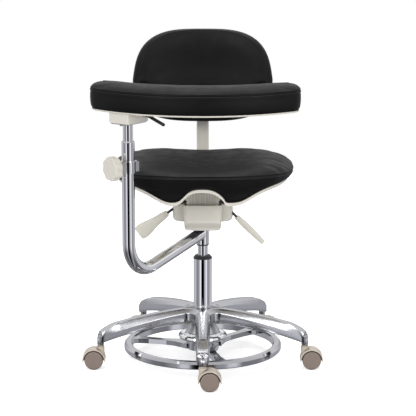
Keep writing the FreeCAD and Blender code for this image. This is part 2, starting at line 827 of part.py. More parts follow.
def make_seat_screws():
    """Four screws from the plate up through the shell into the board, and the holes for them."""
    plate_low = RIM_LOW - size("shell_thickness") - 5
    board_low = size("board_bottom")
    depth_in_board = 8.0
    head_height = 3.0
    screws = []
    for (x, y), shank in zip(SCREW_PLACES, screw_shanks(plate_low, board_low + depth_in_board - plate_low)):
        head = Part.makeCylinder(6, head_height, FreeCAD.Vector(x, y, plate_low - head_height))
        screws.append(head.fuse(shank).removeSplitter())
    shaped("seat_screws", Part.makeCompound(screws))
    through = Part.makeCompound(screw_shanks(plate_low, 200))
    blind = Part.makeCompound(screw_shanks(board_low, depth_in_board))
    for label, holes in (("seat_plate", through), ("seat_shell", through), ("seat_board", blind)):
        piece = next(item for item in pieces if item.Label == label)
        piece.Shape = piece.Shape.cut(holes)


# ---------------------------------------------------------------- back

def back_outline(inset):
    """The back's outline seen from the front: a dome on a gently bowed lower edge."""
    full = [
        (0.0, 612.0), (52.0, 613.0), (98.0, 618.0), (138.0, 630.0), (173.0, 655.0), (190.8, 690.0),
        (194.5, 735.0), (191.0, 760.0), (181.0, 792.0), (163.0, 826.0), (140.0, 849.0),
        (108.0, 863.5), (62.0, 871.0), (0.0, 872.0)]
    half_width = 194.5
    half_height = 130.0
    centre = 742.0
    across = 1 - inset / half_width
    upward = 1 - inset / half_height
    return half_outline([(x * across, centre + (z - centre) * upward) for x, z in full])


def curved_panel(inset, near, far):
    """The back's outline cut from a tube wall between two radii round the sitter."""
    body = smooth_face(back_outline(inset), 100.0, flat=False).extrude(FreeCAD.Vector(0, 250, 0))
    foot = FreeCAD.Vector(0, size("back_curve_y"), 550)
    tube = Part.makeCylinder(far, 400, foot).cut(Part.makeCylinder(near, 400, foot))
    return body.common(tube)


def make_back():
    """A flat J-shaped bar from the mechanism up to a sliding carriage with the padded back."""
    inner_radius = size("bar_bend_radius")
    half = size("bar_half_width")
    thick = size("bar_thickness")
    front_y = size("bar_front_y")
    top_z = size("bar_top")
    pin_y, pin_z = size("back_pin_y"), size("back_pin_z")
    high = pin_z + thick / 2
    centre_y = front_y - inner_radius
    centre_z = high + inner_radius
    diagonal = math.sqrt(0.5)

    def at(y, z):
        return FreeCAD.Vector(-half, y, z)

    def elbow(radius):
        halfway = at(centre_y + radius * diagonal, centre_z - radius * diagonal)
        return Part.Arc(at(centre_y, centre_z - radius), halfway, at(centre_y + radius, centre_z)).toShape()

    outer_radius = inner_radius + thick
    edges = [
        Part.LineSegment(at(pin_y, high), at(centre_y, high)).toShape(),
        elbow(inner_radius),
        Part.LineSegment(at(front_y, centre_z), at(front_y, top_z)).toShape(),
        Part.LineSegment(at(front_y, top_z), at(front_y + thick, top_z)).toShape(),
        Part.LineSegment(at(front_y + thick, top_z), at(front_y + thick, centre_z)).toShape(),
        elbow(outer_radius),
        Part.LineSegment(at(centre_y, high - thick), at(pin_y, high - thick)).toShape(),
        Part.LineSegment(at(pin_y, high - thick), at(pin_y, high)).toShape(),
    ]
    bar = Part.Face(Part.Wire(Part.sortEdges(edges)[0])).extrude(FreeCAD.Vector(2 * half, 0, 0))
    long_edges = [e for e in bar.Edges if abs(abs(middle(e).x) - half) < 0.01 and middle(e).y > pin_y + 10]
    bar = bar.makeFillet(4, long_edges)
    bar = bar.fuse(Part.makeCylinder(11, 2 * half, at(pin_y, pin_z), LEVEL))
    pin_room = size("pin_radius") + size("running_gap")
    bar = bar.cut(Part.makeCylinder(pin_room, 2 * half, at(pin_y, pin_z), LEVEL))
    shaped("back_bar", bar.removeSplitter())

    near = size("back_curve_radius")
    shell_near = near + size("back_cushion_depth")
    shell_far = shell_near + size("back_shell_depth")
    shaped("back_cushion", curved_panel(0, near, shell_near))
    shaped("back_shell", curved_panel(5, shell_near, shell_far))

    carriage_half = 30.0
    carriage = Part.makeBox(2 * carriage_half, 48, 72, FreeCAD.Vector(-carriage_half, 270, 690))
    carriage = carriage.makeFillet(5, [e for e in carriage.Edges if is_upright(e) and middle(e).y > 300])
    axis_foot = FreeCAD.Vector(0, size("back_curve_y"), 600)
    carriage = carriage.cut(Part.makeCylinder(shell_far, 300, axis_foot))
    slack = 0.3
    channel_corner = FreeCAD.Vector(-half - slack, front_y - slack, 680)
    channel = Part.makeBox(2 * (half + slack), thick + 2 * slack, 100, channel_corner)

    def along_knob(radius, from_x, to_x):
        """A round bar on the lock knob's own line, across the carriage."""
        foot = FreeCAD.Vector(from_x, front_y + thick / 2, 726)
        return Part.makeCylinder(radius, to_x - from_x, foot, LEVEL)

    shaped("back_carriage", carriage.cut(channel).cut(along_knob(4.05, 0, 40)))
    knob = along_knob(15, carriage_half + 4, carriage_half + 20)
    knob = knob.makeFillet(3, knob.Edges)
    knob = knob.fuse(along_knob(8, carriage_half + 0.5, carriage_half + 4))
    knob = knob.fuse(along_knob(4, half + 2 * slack, carriage_half + 4.6))
    shaped("back_knob", knob.removeSplitter())


# ---------------------------------------------------------------- levers

LEVER_ELBOW_X = 66.0
LEVER_Y = -30.0


def make_lever(name, side, height, drop, stations, thickness):
    """A steel stem out of the cover's side, with a moulded paddle that widens downwards."""
    angle = math.radians(drop)

    def along_lever(distance):
        """A point on the lever's slope, at a distance from its elbow."""
        return FreeCAD.Vector(
            side * (LEVER_ELBOW_X + distance * math.cos(angle)), LEVER_Y, height - distance * math.sin(angle))

    root = FreeCAD.Vector(side * (size("housing_half") + 1), LEVER_Y, height)
    elbow = along_lever(0)
    stem = bar_between(root, elbow, 3.5)
    stem = stem.fuse(Part.makeSphere(3.5, elbow))
    stem = stem.fuse(bar_between(elbow, along_lever(60), 3.5))
    shaped(name + "_lever_stem", stem.removeSplitter())

    way = along_lever(1) - elbow
    turn = FreeCAD.Rotation(FreeCAD.Vector(0, 0, 1), way)
    wires = []
    for distance, half_width in stations:
        ellipse = Part.Ellipse(FreeCAD.Vector(0, 0, 0), half_width, min(thickness, half_width) - 0.01)
        wire = Part.Wire(ellipse.toShape())
        wire.Placement = FreeCAD.Placement(along_lever(distance), turn)
        wires.append(wire)
    grip = Part.makeLoft(wires, True)
    grip = grip.cut(bar_between(along_lever(0), along_lever(60), 3.5))
    shaped(name + "_lever_grip", grip)


# ---------------------------------------------------------------- swing arm

def turned_about_column(label, shape):
    """A piece drawn along +X, turned to the arm's place round the column."""
    piece = shaped(label, shape)
    turn = FreeCAD.Rotation(FreeCAD.Vector(0, 0, 1), size("arm_angle"))
    piece.Placement = FreeCAD.Placement(FreeCAD.Vector(0, 0, 0), turn).multiply(shape.Placement)
    return piece


def arm_path():
    """Down a straight leg from the column, round the bend, and up the post's line."""
    reach = size("arm_reach")
    corner_z = size("arm_corner_z")
    radius = size("arm_bend_radius")
    inner_end = FreeCAD.Vector(10, 0, size("arm_root_z") + 2.3)
    corner = FreeCAD.Vector(reach, 0, corner_z)
    leg = (corner - inner_end).normalize()
    turn = math.pi / 2 + math.atan2(-leg.z, leg.x)
    tangent = radius * math.tan(turn / 2)
    bend_start = corner - leg * tangent
    bend_end = corner + FreeCAD.Vector(0, 0, tangent)
    centre = bend_end - FreeCAD.Vector(radius, 0, 0)
    bisector = (corner - centre).normalize()
    top = FreeCAD.Vector(reach, 0, size("arm_tube_top"))
    edges = [
        Part.LineSegment(inner_end, bend_start).toShape(),
        Part.Arc(bend_start, centre + bisector * radius, bend_end).toShape(),
        Part.LineSegment(bend_end, top).toShape(),
    ]
    return Part.Wire(edges), inner_end, leg


def make_arm():
    """The bent tube on its collar, the split clamp with its knob, and the post that slides."""
    path, start, leg = arm_path()
    outer_radius = size("arm_tube_radius")
    inner_radius = outer_radius - size("arm_tube_wall")
    solids = []
    for radius in (outer_radius, inner_radius):
        circle = Part.Wire(Part.Circle(start, leg, radius).toShape())
        solids.append(path.makePipeShell([circle], True, False))
    tube = solids[0].cut(solids[1])
    tube = tube.cut(Part.makeCylinder(size("collar_radius"), 500, FreeCAD.Vector(0, 0, 200)))
    reach = size("arm_reach")
    clamp_low = size("clamp_bottom")
    clamp_height = size("clamp_height")
    knob_angle = math.radians(size("knob_angle"))
    knob_way = FreeCAD.Vector(math.cos(knob_angle), math.sin(knob_angle), 0)
    clamp_centre = FreeCAD.Vector(reach, 0, clamp_low + clamp_height / 2)
    screw_room = bar_between(clamp_centre, clamp_centre + knob_way * 60, 4.1)
    turned_about_column("arm_tube", tube.cut(screw_room))

    def round_bar(radius, x, low, height):
        """An upright round bar at a distance along the arm."""
        return Part.makeCylinder(radius, height, FreeCAD.Vector(x, 0, low))

    gap = size("running_gap")
    gas = size("gas_radius")
    bush_wall = 2.0
    collar_low = size("collar_bottom")
    collar_height = size("collar_top") - collar_low
    bush = round_bar(gas + bush_wall, 0, collar_low, collar_height)
    collar = round_bar(size("collar_radius"), 0, collar_low, collar_height)
    shaped("arm_collar", collar.cut(bush))
    bush = bush.cut(round_bar(gas + gap, 0, collar_low, collar_height))
    tube_top = size("arm_tube_top")
    guide_depth = 34.0
    guide = round_bar(inner_radius, reach, tube_top - guide_depth, guide_depth)
    guide = guide.fuse(round_bar(outer_radius - 0.5, reach, tube_top, 2.5))
    guide = guide.cut(round_bar(size("post_radius") + gap, reach, tube_top - guide_depth - 6, 60))
    turned_about_column("arm_bushes", Part.makeCompound([bush, guide.removeSplitter()]))

    fitting_low = clamp_low + 2
    fitting_height = clamp_height - 4
    fittings = Part.makeBox(19, 22, fitting_height, FreeCAD.Vector(12, -11, fitting_low))
    fittings = fittings.fuse(Part.makeBox(12, 16, fitting_height, FreeCAD.Vector(-28, -8, fitting_low)))
    fittings.rotate(FreeCAD.Vector(0, 0, 0), FreeCAD.Vector(0, 0, 1), size("knob_angle"))
    fittings.translate(FreeCAD.Vector(reach, 0, 0))
    clamp = round_bar(outer_radius + 3.2, reach, clamp_low, clamp_height).fuse(fittings)
    clamp = clamp.cut(round_bar(outer_radius, reach, clamp_low, clamp_height))
    turned_about_column("clamp_collar", clamp.cut(screw_room).removeSplitter())

    tip = size("post_radius") + 0.4
    screw = bar_between(clamp_centre + knob_way * tip, clamp_centre + knob_way * 42, 4)
    turned_about_column("clamp_screw", screw)
    knob = make_clamp_knob()
    knob.Placement = FreeCAD.Placement(
        clamp_centre + knob_way * 37, FreeCAD.Rotation(FreeCAD.Vector(0, 0, 1), knob_way))
    turned_about_column("clamp_knob", knob)

    post_low = size("post_bottom")
    height = size("post_top") - post_low
    post = round_bar(size("post_radius"), reach, post_low, height)
    post = post.cut(round_bar(size("post_radius") - 2, reach, post_low, height - 4))
    turned_about_column("inner_post", post)


def make_clamp_knob():
    """A shallow-lobed knob on a neck, drawn along +Z with its screw's hole behind."""
    thickness = 21.0
    lobes = 8
    lobe_radius = 14.0
    lobe_circle = size("knob_radius") - lobe_radius
    neck_length = 5.5
    knob = Part.makeCylinder(size("knob_radius") - 2.4, thickness)
    for k in range(lobes):
        angle = 2 * math.pi * k / lobes
        centre = FreeCAD.Vector(lobe_circle * math.cos(angle), lobe_circle * math.sin(angle), 0)
        knob = knob.fuse(Part.makeCylinder(lobe_radius, thickness, centre))
    knob = knob.removeSplitter()
    rims = [e for e in knob.Edges if abs(middle(e).z) < 0.01 or abs(middle(e).z - thickness) < 0.01]
    knob = knob.makeFillet(2.5, rims)
    behind = FreeCAD.Vector(0, 0, -neck_length)
    knob = knob.fuse(Part.makeCylinder(13, neck_length + 0.5, behind))
    return knob.cut(Part.makeCylinder(4, neck_length + 5, behind)).removeSplitter()


# ---------------------------------------------------------------- support pad

def pad_band(near, far, low, high):
    """A round-ended band round the column, between two radii and two heights."""
    start = math.radians(size("pad_start"))
    end = math.radians(size("pad_end"))
    middle_radius = (near + far) / 2

    def at(radius, angle):
        return FreeCAD.Vector(radius * math.cos(angle), radius * math.sin(angle), low)

    def cap(angle, sign):
        centre = at(middle_radius, angle)
        tip = centre + FreeCAD.Vector(-math.sin(angle), math.cos(angle), 0) * sign * (far - near) / 2
        return Part.Arc(at(far, angle), tip, at(near, angle)).toShape()

    halfway = (start + end) / 2
    edges = [
        Part.Arc(at(far, start), at(far, halfway), at(far, end)).toShape(),
        cap(end, 1),
        Part.Arc(at(near, end), at(near, halfway), at(near, start)).toShape(),
        cap(start, -1),
    ]
    return Part.Face(Part.Wire(edges)).extrude(FreeCAD.Vector(0, 0, high - low))


def make_pad():
    """The curved pad on its shell, with the housing that turns on the post and its lock."""
    near, far = size("pad_inner"), size("pad_outer")
    shell_low, shell_high = size("pad_shell_bottom"), size("pad_shell_top")
    cushion = pad_band(near, far, shell_high, size("pad_top"))
    cushion = cushion.makeFillet(10, [e for e in cushion.Edges if middle(e).z > size("pad_top") - 0.1])
    shaped("pad_cushion", cushion)
    shell = pad_band(near + 4, far - 4, shell_low, shell_high)
    shell = shell.makeFillet(2.5, [e for e in shell.Edges if middle(e).z < shell_low + 0.1])
    shaped("pad_shell", shell)

    reach = size("arm_reach")
    low = size("pad_housing_bottom")
    length, width = size("pad_housing_length"), size("pad_housing_width")
    height = shell_low - low
    centre_x = reach - size("pad_housing_shift")
    start_x = centre_x - length / 2
    housing = Part.makeBox(length, width, height, FreeCAD.Vector(start_x, -width / 2, low))
    housing = housing.makeFillet(5, [e for e in housing.Edges if is_upright(e)])
    inside = Part.makeBox(
        length - 8, width - 8, height, FreeCAD.Vector(start_x + 4, -width / 2 + 4, low + 4))
    boss = Part.makeCylinder(20, height - 1, FreeCAD.Vector(reach, 0, low))
    bore_radius = size("post_radius") + size("running_gap")
    bore = Part.makeCylinder(bore_radius, height + 2, FreeCAD.Vector(reach, 0, low - 1))
    lever_way = FreeCAD.Vector(0, 1, 0)
    lever_root = FreeCAD.Vector(reach - 26, 0, low + 16)
    housing = housing.cut(inside).fuse(boss).cut(bore)
    housing = housing.cut(bar_between(lever_root, lever_root + lever_way * 60, 5.05))
    housing = housing.removeSplitter()

    plate_corner = FreeCAD.Vector(start_x + 5, -width / 2 + 4, low - 3)
    plate = Part.makeBox(length - 10, width - 8, 3, plate_corner)
    plate = plate.cut(Part.makeCylinder(14, 9, FreeCAD.Vector(reach, 0, low - 6)))
    bolts = []
    for x in (-29, 29):
        foot = FreeCAD.Vector(centre_x + x, 0, low - 7)
        bolts.append(Part.makeCylinder(4.5, 4, foot))
    plate_set = Part.makeCompound([plate] + bolts)
    turned_about_column("pad_housing", housing)
    turned_about_column("pad_plate", plate_set)

    bushing_start = lever_root + lever_way * 20
    bushing = bar_between(bushing_start, lever_root + lever_way * (width / 2 + 7), 5)
    bushing = bushing.cut(bar_between(bushing_start, lever_root + lever_way * 60, 3.55))
    turned_about_column("lever_bushing", bushing)
    elbow = lever_root + lever_way * (width / 2 + 14)
    handle_end = elbow + FreeCAD.Vector(0, 47, -18)
    lever = bar_between(lever_root + lever_way * 20, elbow, 3.5)
    lever = lever.fuse(Part.makeSphere(4.2, elbow))
    lever = lever.fuse(bar_between(elbow, handle_end, 4.2)).fuse(Part.makeSphere(4.2, handle_end))
    turned_about_column("pad_lever", lever.removeSplitter())


make_star_base()
make_column()
make_lift()
make_foot_ring()
make_sleeves()
for caster_place, (caster_arm_turn, caster_trail_turn) in CASTERS.items():
    make_caster(caster_place, caster_arm_turn, caster_trail_turn)
make_mechanism()
make_seat()
make_rib_panel()
make_seat_plate()
make_seat_screws()
make_back()
make_lever("left", -1, 431.5, 36.5, [(34, 7), (56, 11), (90, 16), (124, 19.5), (130, 17)], 6)
make_lever("right", 1, 424.0, 44.5, [(34, 6.5), (64, 8.5), (100, 8), (134, 6.5)], 6)
make_arm()
make_pad()
doc.recompute()

for item in doc.Objects:
    if "Invalid" in item.State or "Error" in item.State:
        raise RuntimeError("%s (%s) did not compute" % (item.Name, item.Label))
os.makedirs("parts", exist_ok=True)
for piece in pieces:
    if piece.Shape.isNull() or not piece.Shape.isValid():
        raise RuntimeError("%s has no valid shape" % piece.Label)
    piece.Shape.exportStep("parts/%s.step" % piece.Label)
print(len(pieces), "pieces written")
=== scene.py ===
import json
import math

import bmesh
import bpy
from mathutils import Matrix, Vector
from mathutils.bvhtree import BVHTree


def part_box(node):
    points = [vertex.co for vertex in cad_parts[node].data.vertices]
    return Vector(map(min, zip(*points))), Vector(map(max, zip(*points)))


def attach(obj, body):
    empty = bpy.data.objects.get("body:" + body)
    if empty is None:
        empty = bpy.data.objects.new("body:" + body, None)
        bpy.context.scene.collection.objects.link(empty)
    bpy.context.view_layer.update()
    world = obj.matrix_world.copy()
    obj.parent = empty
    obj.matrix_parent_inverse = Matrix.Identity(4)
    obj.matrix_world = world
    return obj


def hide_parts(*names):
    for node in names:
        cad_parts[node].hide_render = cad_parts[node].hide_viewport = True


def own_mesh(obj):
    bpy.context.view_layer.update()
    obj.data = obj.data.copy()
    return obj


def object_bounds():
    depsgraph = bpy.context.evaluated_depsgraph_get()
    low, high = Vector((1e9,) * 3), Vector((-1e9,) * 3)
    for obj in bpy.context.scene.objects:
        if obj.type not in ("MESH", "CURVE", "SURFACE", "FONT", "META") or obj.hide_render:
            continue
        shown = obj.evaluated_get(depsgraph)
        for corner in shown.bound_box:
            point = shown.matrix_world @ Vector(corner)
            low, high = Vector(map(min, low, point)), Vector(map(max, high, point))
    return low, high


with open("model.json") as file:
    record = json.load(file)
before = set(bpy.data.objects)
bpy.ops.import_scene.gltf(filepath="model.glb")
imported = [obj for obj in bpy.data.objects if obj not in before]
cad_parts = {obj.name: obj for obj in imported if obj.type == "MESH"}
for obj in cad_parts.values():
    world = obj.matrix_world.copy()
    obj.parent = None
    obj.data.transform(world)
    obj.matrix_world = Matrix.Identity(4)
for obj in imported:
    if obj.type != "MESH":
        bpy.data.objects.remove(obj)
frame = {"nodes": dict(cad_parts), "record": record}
cad_low, cad_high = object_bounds()
MM = 0.001


# ---------------------------------------------------------------- camera, light and floor

CAMERA_DISTANCE = 4.6
CAMERA_HEIGHT = 1.36
CAMERA_PITCH = 0.202
CAMERA_LENS_MM = 152.0
CAMERA_SHIFT = 0.0127


def make_camera():
    """A long lens in front of the stool, slightly above it and tipped down."""
    data = bpy.data.cameras.new("camera")
    data.lens = CAMERA_LENS_MM
    data.sensor_width = 36.0
    data.shift_x = CAMERA_SHIFT
    data.clip_end = 50.0
    camera = bpy.data.objects.new("camera", data)
    camera.location = (0.0, -CAMERA_DISTANCE, CAMERA_HEIGHT)
    camera.rotation_euler = (math.pi / 2 - CAMERA_PITCH, 0.0, 0.0)
    bpy.context.scene.collection.objects.link(camera)
    bpy.context.scene.camera = camera


def make_softbox(name, place, width, height, watts):
    """A rectangular studio light that points at the middle of the stool."""
    data = bpy.data.lights.new(name, "AREA")
    data.shape = "RECTANGLE"
    data.size = width
    data.size_y = height
    data.energy = watts
    light = bpy.data.objects.new(name, data)
    light.location = place
    aim = (cad_low + cad_high) / 2 - light.location
    light.rotation_euler = aim.to_track_quat("-Z", "Y").to_euler()
    bpy.context.scene.collection.objects.link(light)


def link_chain(tree, *sockets):
    """Joins output and input sockets in pairs."""
    for source, target in zip(sockets[::2], sockets[1::2]):
        tree.links.new(source, target)


def math_node(tree, operation, first, second=None):
    """A math node whose inputs are sockets or numbers."""
    node = tree.nodes.new("ShaderNodeMath")
    node.operation = operation
    for slot, value in zip(node.inputs, (first, second)):
        if value is None:
            continue
        if isinstance(value, (int, float)):
            slot.default_value = value
        else:
            tree.links.new(value, slot)
    return node.outputs[0]


def smooth_range(tree, value, low, high, out_low, out_high):
    """Maps a socket from one range to another with soft ends."""
    node = tree.nodes.new("ShaderNodeMapRange")
    node.interpolation_type = "SMOOTHSTEP"
    ends = (("From Min", low), ("From Max", high), ("To Min", out_low), ("To Max", out_high))
    for key, amount in ends:
        node.inputs[key].default_value = amount
    tree.links.new(value, node.inputs["Value"])
    return node.outputs["Result"]


STUDIO_RING = (
    (-180, 0.42), (-150, 0.52), (-132, 0.50), (-100, 0.60), (-76, 0.28), (-58, 0.24), (-46, 0.44),
    (-37, 0.50), (-31, 0.98), (-21, 0.98), (-15, 0.0), (15, 0.0), (20, 0.44), (33, 0.50), (39, 0.95),
    (50, 0.98), (60, 0.30), (92, 0.34), (104, 0.62), (138, 0.50), (152, 0.52), (180, 0.42))


def make_studio():
    """White surroundings with tall grey and black flags, which draw the dark lines in the chrome."""
    world = bpy.data.worlds.new("studio")
    bpy.context.scene.world = world
    world.use_nodes = True
    tree = world.node_tree
    tree.nodes.clear()
    direction = tree.nodes.new("ShaderNodeTexCoord").outputs["Generated"]
    parts = tree.nodes.new("ShaderNodeSeparateXYZ")
    tree.links.new(direction, parts.inputs[0])
    x, y, z = parts.outputs
    turn = math_node(tree, "ARCTAN2", x, math_node(tree, "MULTIPLY", y, -1.0))
    share = math_node(tree, "ADD", math_node(tree, "MULTIPLY", turn, 0.5 / math.pi), 0.5)
    ring = tree.nodes.new("ShaderNodeValToRGB")
    ramp = ring.color_ramp
    while len(ramp.elements) < len(STUDIO_RING):
        ramp.elements.new(0.5)
    for stop, (angle, level) in zip(ramp.elements, STUDIO_RING):
        stop.position = angle / 360 + 0.5
        stop.color = (level, level, 1.06 * level, 1)
    tree.links.new(share, ring.inputs["Fac"])
    dimming = smooth_range(tree, z, -0.62, -0.24, 0.35, 1.0)
    sides = tree.nodes.new("ShaderNodeVectorMath")
    sides.operation = "SCALE"
    link_chain(tree, ring.outputs["Color"], sides.inputs[0], dimming, sides.inputs["Scale"])
    overhead = smooth_range(tree, z, 0.06, 0.40, 0.0, 1.0)
    ceiling = smooth_range(tree, z, 0.4, 1.0, 0.96, 0.72)
    mix = tree.nodes.new("ShaderNodeMix")
    mix.data_type = "RGBA"
    link_chain(
        tree, overhead, mix.inputs["Factor"], sides.outputs[0], mix.inputs["A"], ceiling, mix.inputs["B"])
    seen = tree.nodes.new("ShaderNodeLightPath").outputs["Is Camera Ray"]
    backdrop = tree.nodes.new("ShaderNodeMix")
    backdrop.data_type = "RGBA"
    backdrop.inputs["B"].default_value = (1, 1, 1, 1)
    link_chain(tree, seen, backdrop.inputs["Factor"], mix.outputs["Result"], backdrop.inputs["A"])
    background = tree.nodes.new("ShaderNodeBackground")
    background.inputs["Strength"].default_value = 1.0
    output = tree.nodes.new("ShaderNodeOutputWorld")
    link_chain(
        tree, backdrop.outputs["Result"], background.inputs["Color"], background.outputs[0],
        output.inputs["Surface"])


def make_floor():
    """A white studio floor that is bright enough to leave only the faintest shadow."""
    mesh = bpy.data.meshes.new("floor")
    reach = 3.0
    corners = [(-reach, -reach, 0), (reach, -reach, 0), (reach, reach, 0), (-reach, reach, 0)]
    mesh.from_pydata(corners, [], [(0, 1, 2, 3)])
    floor = bpy.data.objects.new("floor", mesh)
    floor.location.z = -0.3 * MM
    floor.visible_glossy = False
    bpy.context.scene.collection.objects.link(floor)
    material = bpy.data.materials.new("floor_white")
    material.use_nodes = True
    tree = material.node_tree
    shader = tree.nodes["Principled BSDF"]
    shader.inputs["Base Color"].default_value = (0.88, 0.88, 0.89, 1)
    shader.inputs["Roughness"].default_value = 0.9
    shader.inputs["Specular IOR Level"].default_value = 0.1
    shader.inputs["Emission Color"].default_value = (1, 1, 1, 1)
    seen = tree.nodes.new("ShaderNodeLightPath").outputs["Is Camera Ray"]
    link_chain(tree, math_node(tree, "MULTIPLY", seen, 0.5), shader.inputs["Emission Strength"])
    mesh.materials.append(material)


# ---------------------------------------------------------------- materials

class Finish:
    """A node-based material: a principled shader with helpers for grain, wear, painted shade and bumps."""

    def __init__(self, name, color, roughness, metallic=0.0):
        self.material = bpy.data.materials.new(name)
        self.material.use_nodes = True
        self.material.diffuse_color = (*color, 1)
        self.tree = self.material.node_tree
        self.shader = self.tree.nodes["Principled BSDF"]
        self.shader.inputs["Base Color"].default_value = (*color, 1)
        self.shader.inputs["Roughness"].default_value = roughness
        self.shader.inputs["Metallic"].default_value = metallic
        self.place = self.tree.nodes.new("ShaderNodeTexCoord").outputs["Object"]
        self.normal = None

    def noise(self, scale, detail=3.0, stretch=None):
        """Noise whose grain is 1/scale metres, stretched along an axis where asked."""
        node = self.tree.nodes.new("ShaderNodeTexNoise")
        node.inputs["Scale"].default_value = scale
        node.inputs["Detail"].default_value = detail
        place = self.place
        if stretch:
            mapping = self.tree.nodes.new("ShaderNodeMapping")
            mapping.inputs["Scale"].default_value = stretch
            self.tree.links.new(place, mapping.inputs["Vector"])
            place = mapping.outputs["Vector"]
        self.tree.links.new(place, node.inputs["Vector"])
        return node.outputs["Fac"]

    def cells(self, scale):
        """The pebbled cells of leather or moulded texture."""
        node = self.tree.nodes.new("ShaderNodeTexVoronoi")
        node.feature = "SMOOTH_F1"
        node.inputs["Scale"].default_value = scale
        node.inputs["Smoothness"].default_value = 0.6
        self.tree.links.new(self.place, node.inputs["Vector"])
        return node.outputs["Distance"]

    def edges(self, radius):
        """Near 1 along sharp edges, where handling polishes or lightens the surface."""
        bevel = self.tree.nodes.new("ShaderNodeBevel")
        bevel.samples = 4
        bevel.inputs["Radius"].default_value = radius
        geometry = self.tree.nodes.new("ShaderNodeNewGeometry")
        dot = self.tree.nodes.new("ShaderNodeVectorMath")
        dot.operation = "DOT_PRODUCT"
        link_chain(self.tree, bevel.outputs[0], dot.inputs[0], geometry.outputs["Normal"], dot.inputs[1])
        return smooth_range(self.tree, dot.outputs["Value"], 0.995, 0.85, 0.0, 1.0)

    def painted_crevice_shade(self, reach):
        """Near 1 in narrow gaps and deep corners, where the colour is darkened as painted shade."""
        node = self.tree.nodes.new("ShaderNodeAmbientOcclusion")
        node.samples = 6
        node.inputs["Distance"].default_value = reach
        return smooth_range(self.tree, node.outputs["AO"], 0.8, 0.38, 0.0, 1.0)

    def tint(self, factor, color, amount=1.0):
        """Blends the base colour towards another where a socket is high."""
        mix = self.tree.nodes.new("ShaderNodeMix")
        mix.data_type = "RGBA"
        base = self.shader.inputs["Base Color"]
        if base.links:
            self.tree.links.new(base.links[0].from_socket, mix.inputs["A"])
        else:
            mix.inputs["A"].default_value = base.default_value
        mix.inputs["B"].default_value = (*color, 1)
        self.tree.links.new(math_node(self.tree, "MULTIPLY", factor, amount), mix.inputs["Factor"])
        self.tree.links.new(mix.outputs["Result"], base)

    def rough(self, factor, low, high):
        """Lets the roughness follow a socket."""
        value = smooth_range(self.tree, factor, 0.3, 0.7, low, high)
        self.tree.links.new(value, self.shader.inputs["Roughness"])

    def bump(self, height, depth, strength=1.0):
        """Adds a layer of relief, depth metres high."""
        node = self.tree.nodes.new("ShaderNodeBump")
        node.inputs["Strength"].default_value = strength
        node.inputs["Distance"].default_value = depth
        self.tree.links.new(height, node.inputs["Height"])
        if self.normal:
            self.tree.links.new(self.normal, node.inputs["Normal"])
        self.normal = node.outputs["Normal"]
        self.tree.links.new(self.normal, self.shader.inputs["Normal"])


def leather():
    """Near-black synthetic leather: fine pebbled grain, soft creases and a low sheen."""
    finish = Finish("black_leather", (0.0036, 0.0036, 0.0038), 0.46)
    finish.tint(finish.noise(9.0, 4.0), (0.0058, 0.0058, 0.006), 0.8)
    finish.rough(finish.noise(35.0), 0.42, 0.54)
    finish.bump(finish.noise(22.0, 3.0), 0.4 * MM, 0.3)
    finish.bump(finish.cells(850.0), 0.20 * MM, 0.5)
    finish.shader.inputs["Specular IOR Level"].default_value = 0.17
    finish.shader.inputs["Sheen Weight"].default_value = 0.02
    finish.shader.inputs["Sheen Roughness"].default_value = 0.4
    return finish.material


def moulded(name, color, roughness, worn, shade=0.55):
    """Injection-moulded plastic: spark-eroded texture, faint mottling, edges rubbed a little lighter, and
    painted shade in its gaps and deep corners.
    """
    finish = Finish(name, color, roughness)
    finish.tint(finish.noise(14.0, 4.0), tuple(0.93 * c for c in color), 0.7)
    finish.tint(finish.edges(1.2 * MM), worn, 0.35)
    # Painted shade: the colour is darkened towards near-black in gaps and deep corners, where light does
    # not reach.
    finish.tint(finish.painted_crevice_shade(7 * MM), tuple(0.08 * c for c in color), shade)
    finish.rough(finish.noise(60.0), roughness - 0.05, roughness + 0.06)
    finish.bump(finish.cells(1400.0), 0.06 * MM, 0.35)
    return finish.material


def painted(name, color, roughness, worn):
    """Sprayed enamel with a slight orange peel and thin spots on the edges."""
    finish = Finish(name, color, roughness)
    finish.tint(finish.edges(1.0 * MM), worn, 0.3)
    finish.rough(finish.noise(80.0), roughness - 0.05, roughness + 0.07)
    finish.bump(finish.noise(420.0, 2.0), 0.05 * MM, 0.4)
    return finish.material


def metal(name, color, roughness, relief=0.0, grain=300.0, stretch=None):
    """Bare or plated metal: slight variation in polish, and a cast or brushed relief where it has one."""
    finish = Finish(name, color, roughness, 1.0)
    finish.tint(finish.noise(11.0, 4.0), tuple(0.9 * c for c in color), 0.6)
    finish.rough(finish.noise(70.0, 3.0, stretch), roughness * 0.8, roughness * 1.25)
    if relief:
        finish.bump(finish.noise(grain, 2.0, stretch), relief, 0.4)
    return finish.material


def plywood():
    """Bare birch plies, seen as thin dark and light layers on the board's edge."""
    finish = Finish("plywood", (0.60, 0.45, 0.28), 0.7)
    wave = finish.tree.nodes.new("ShaderNodeTexWave")
    wave.bands_direction = "Z"
    wave.inputs["Scale"].default_value = 160.0
    wave.inputs["Distortion"].default_value = 1.5
    finish.tree.links.new(finish.place, wave.inputs["Vector"])
    finish.tint(wave.outputs["Fac"], (0.40, 0.27, 0.15), 0.8)
    finish.bump(finish.noise(500.0, 3.0, (1.0, 8.0, 8.0)), 0.2 * MM, 0.4)
    return finish.material


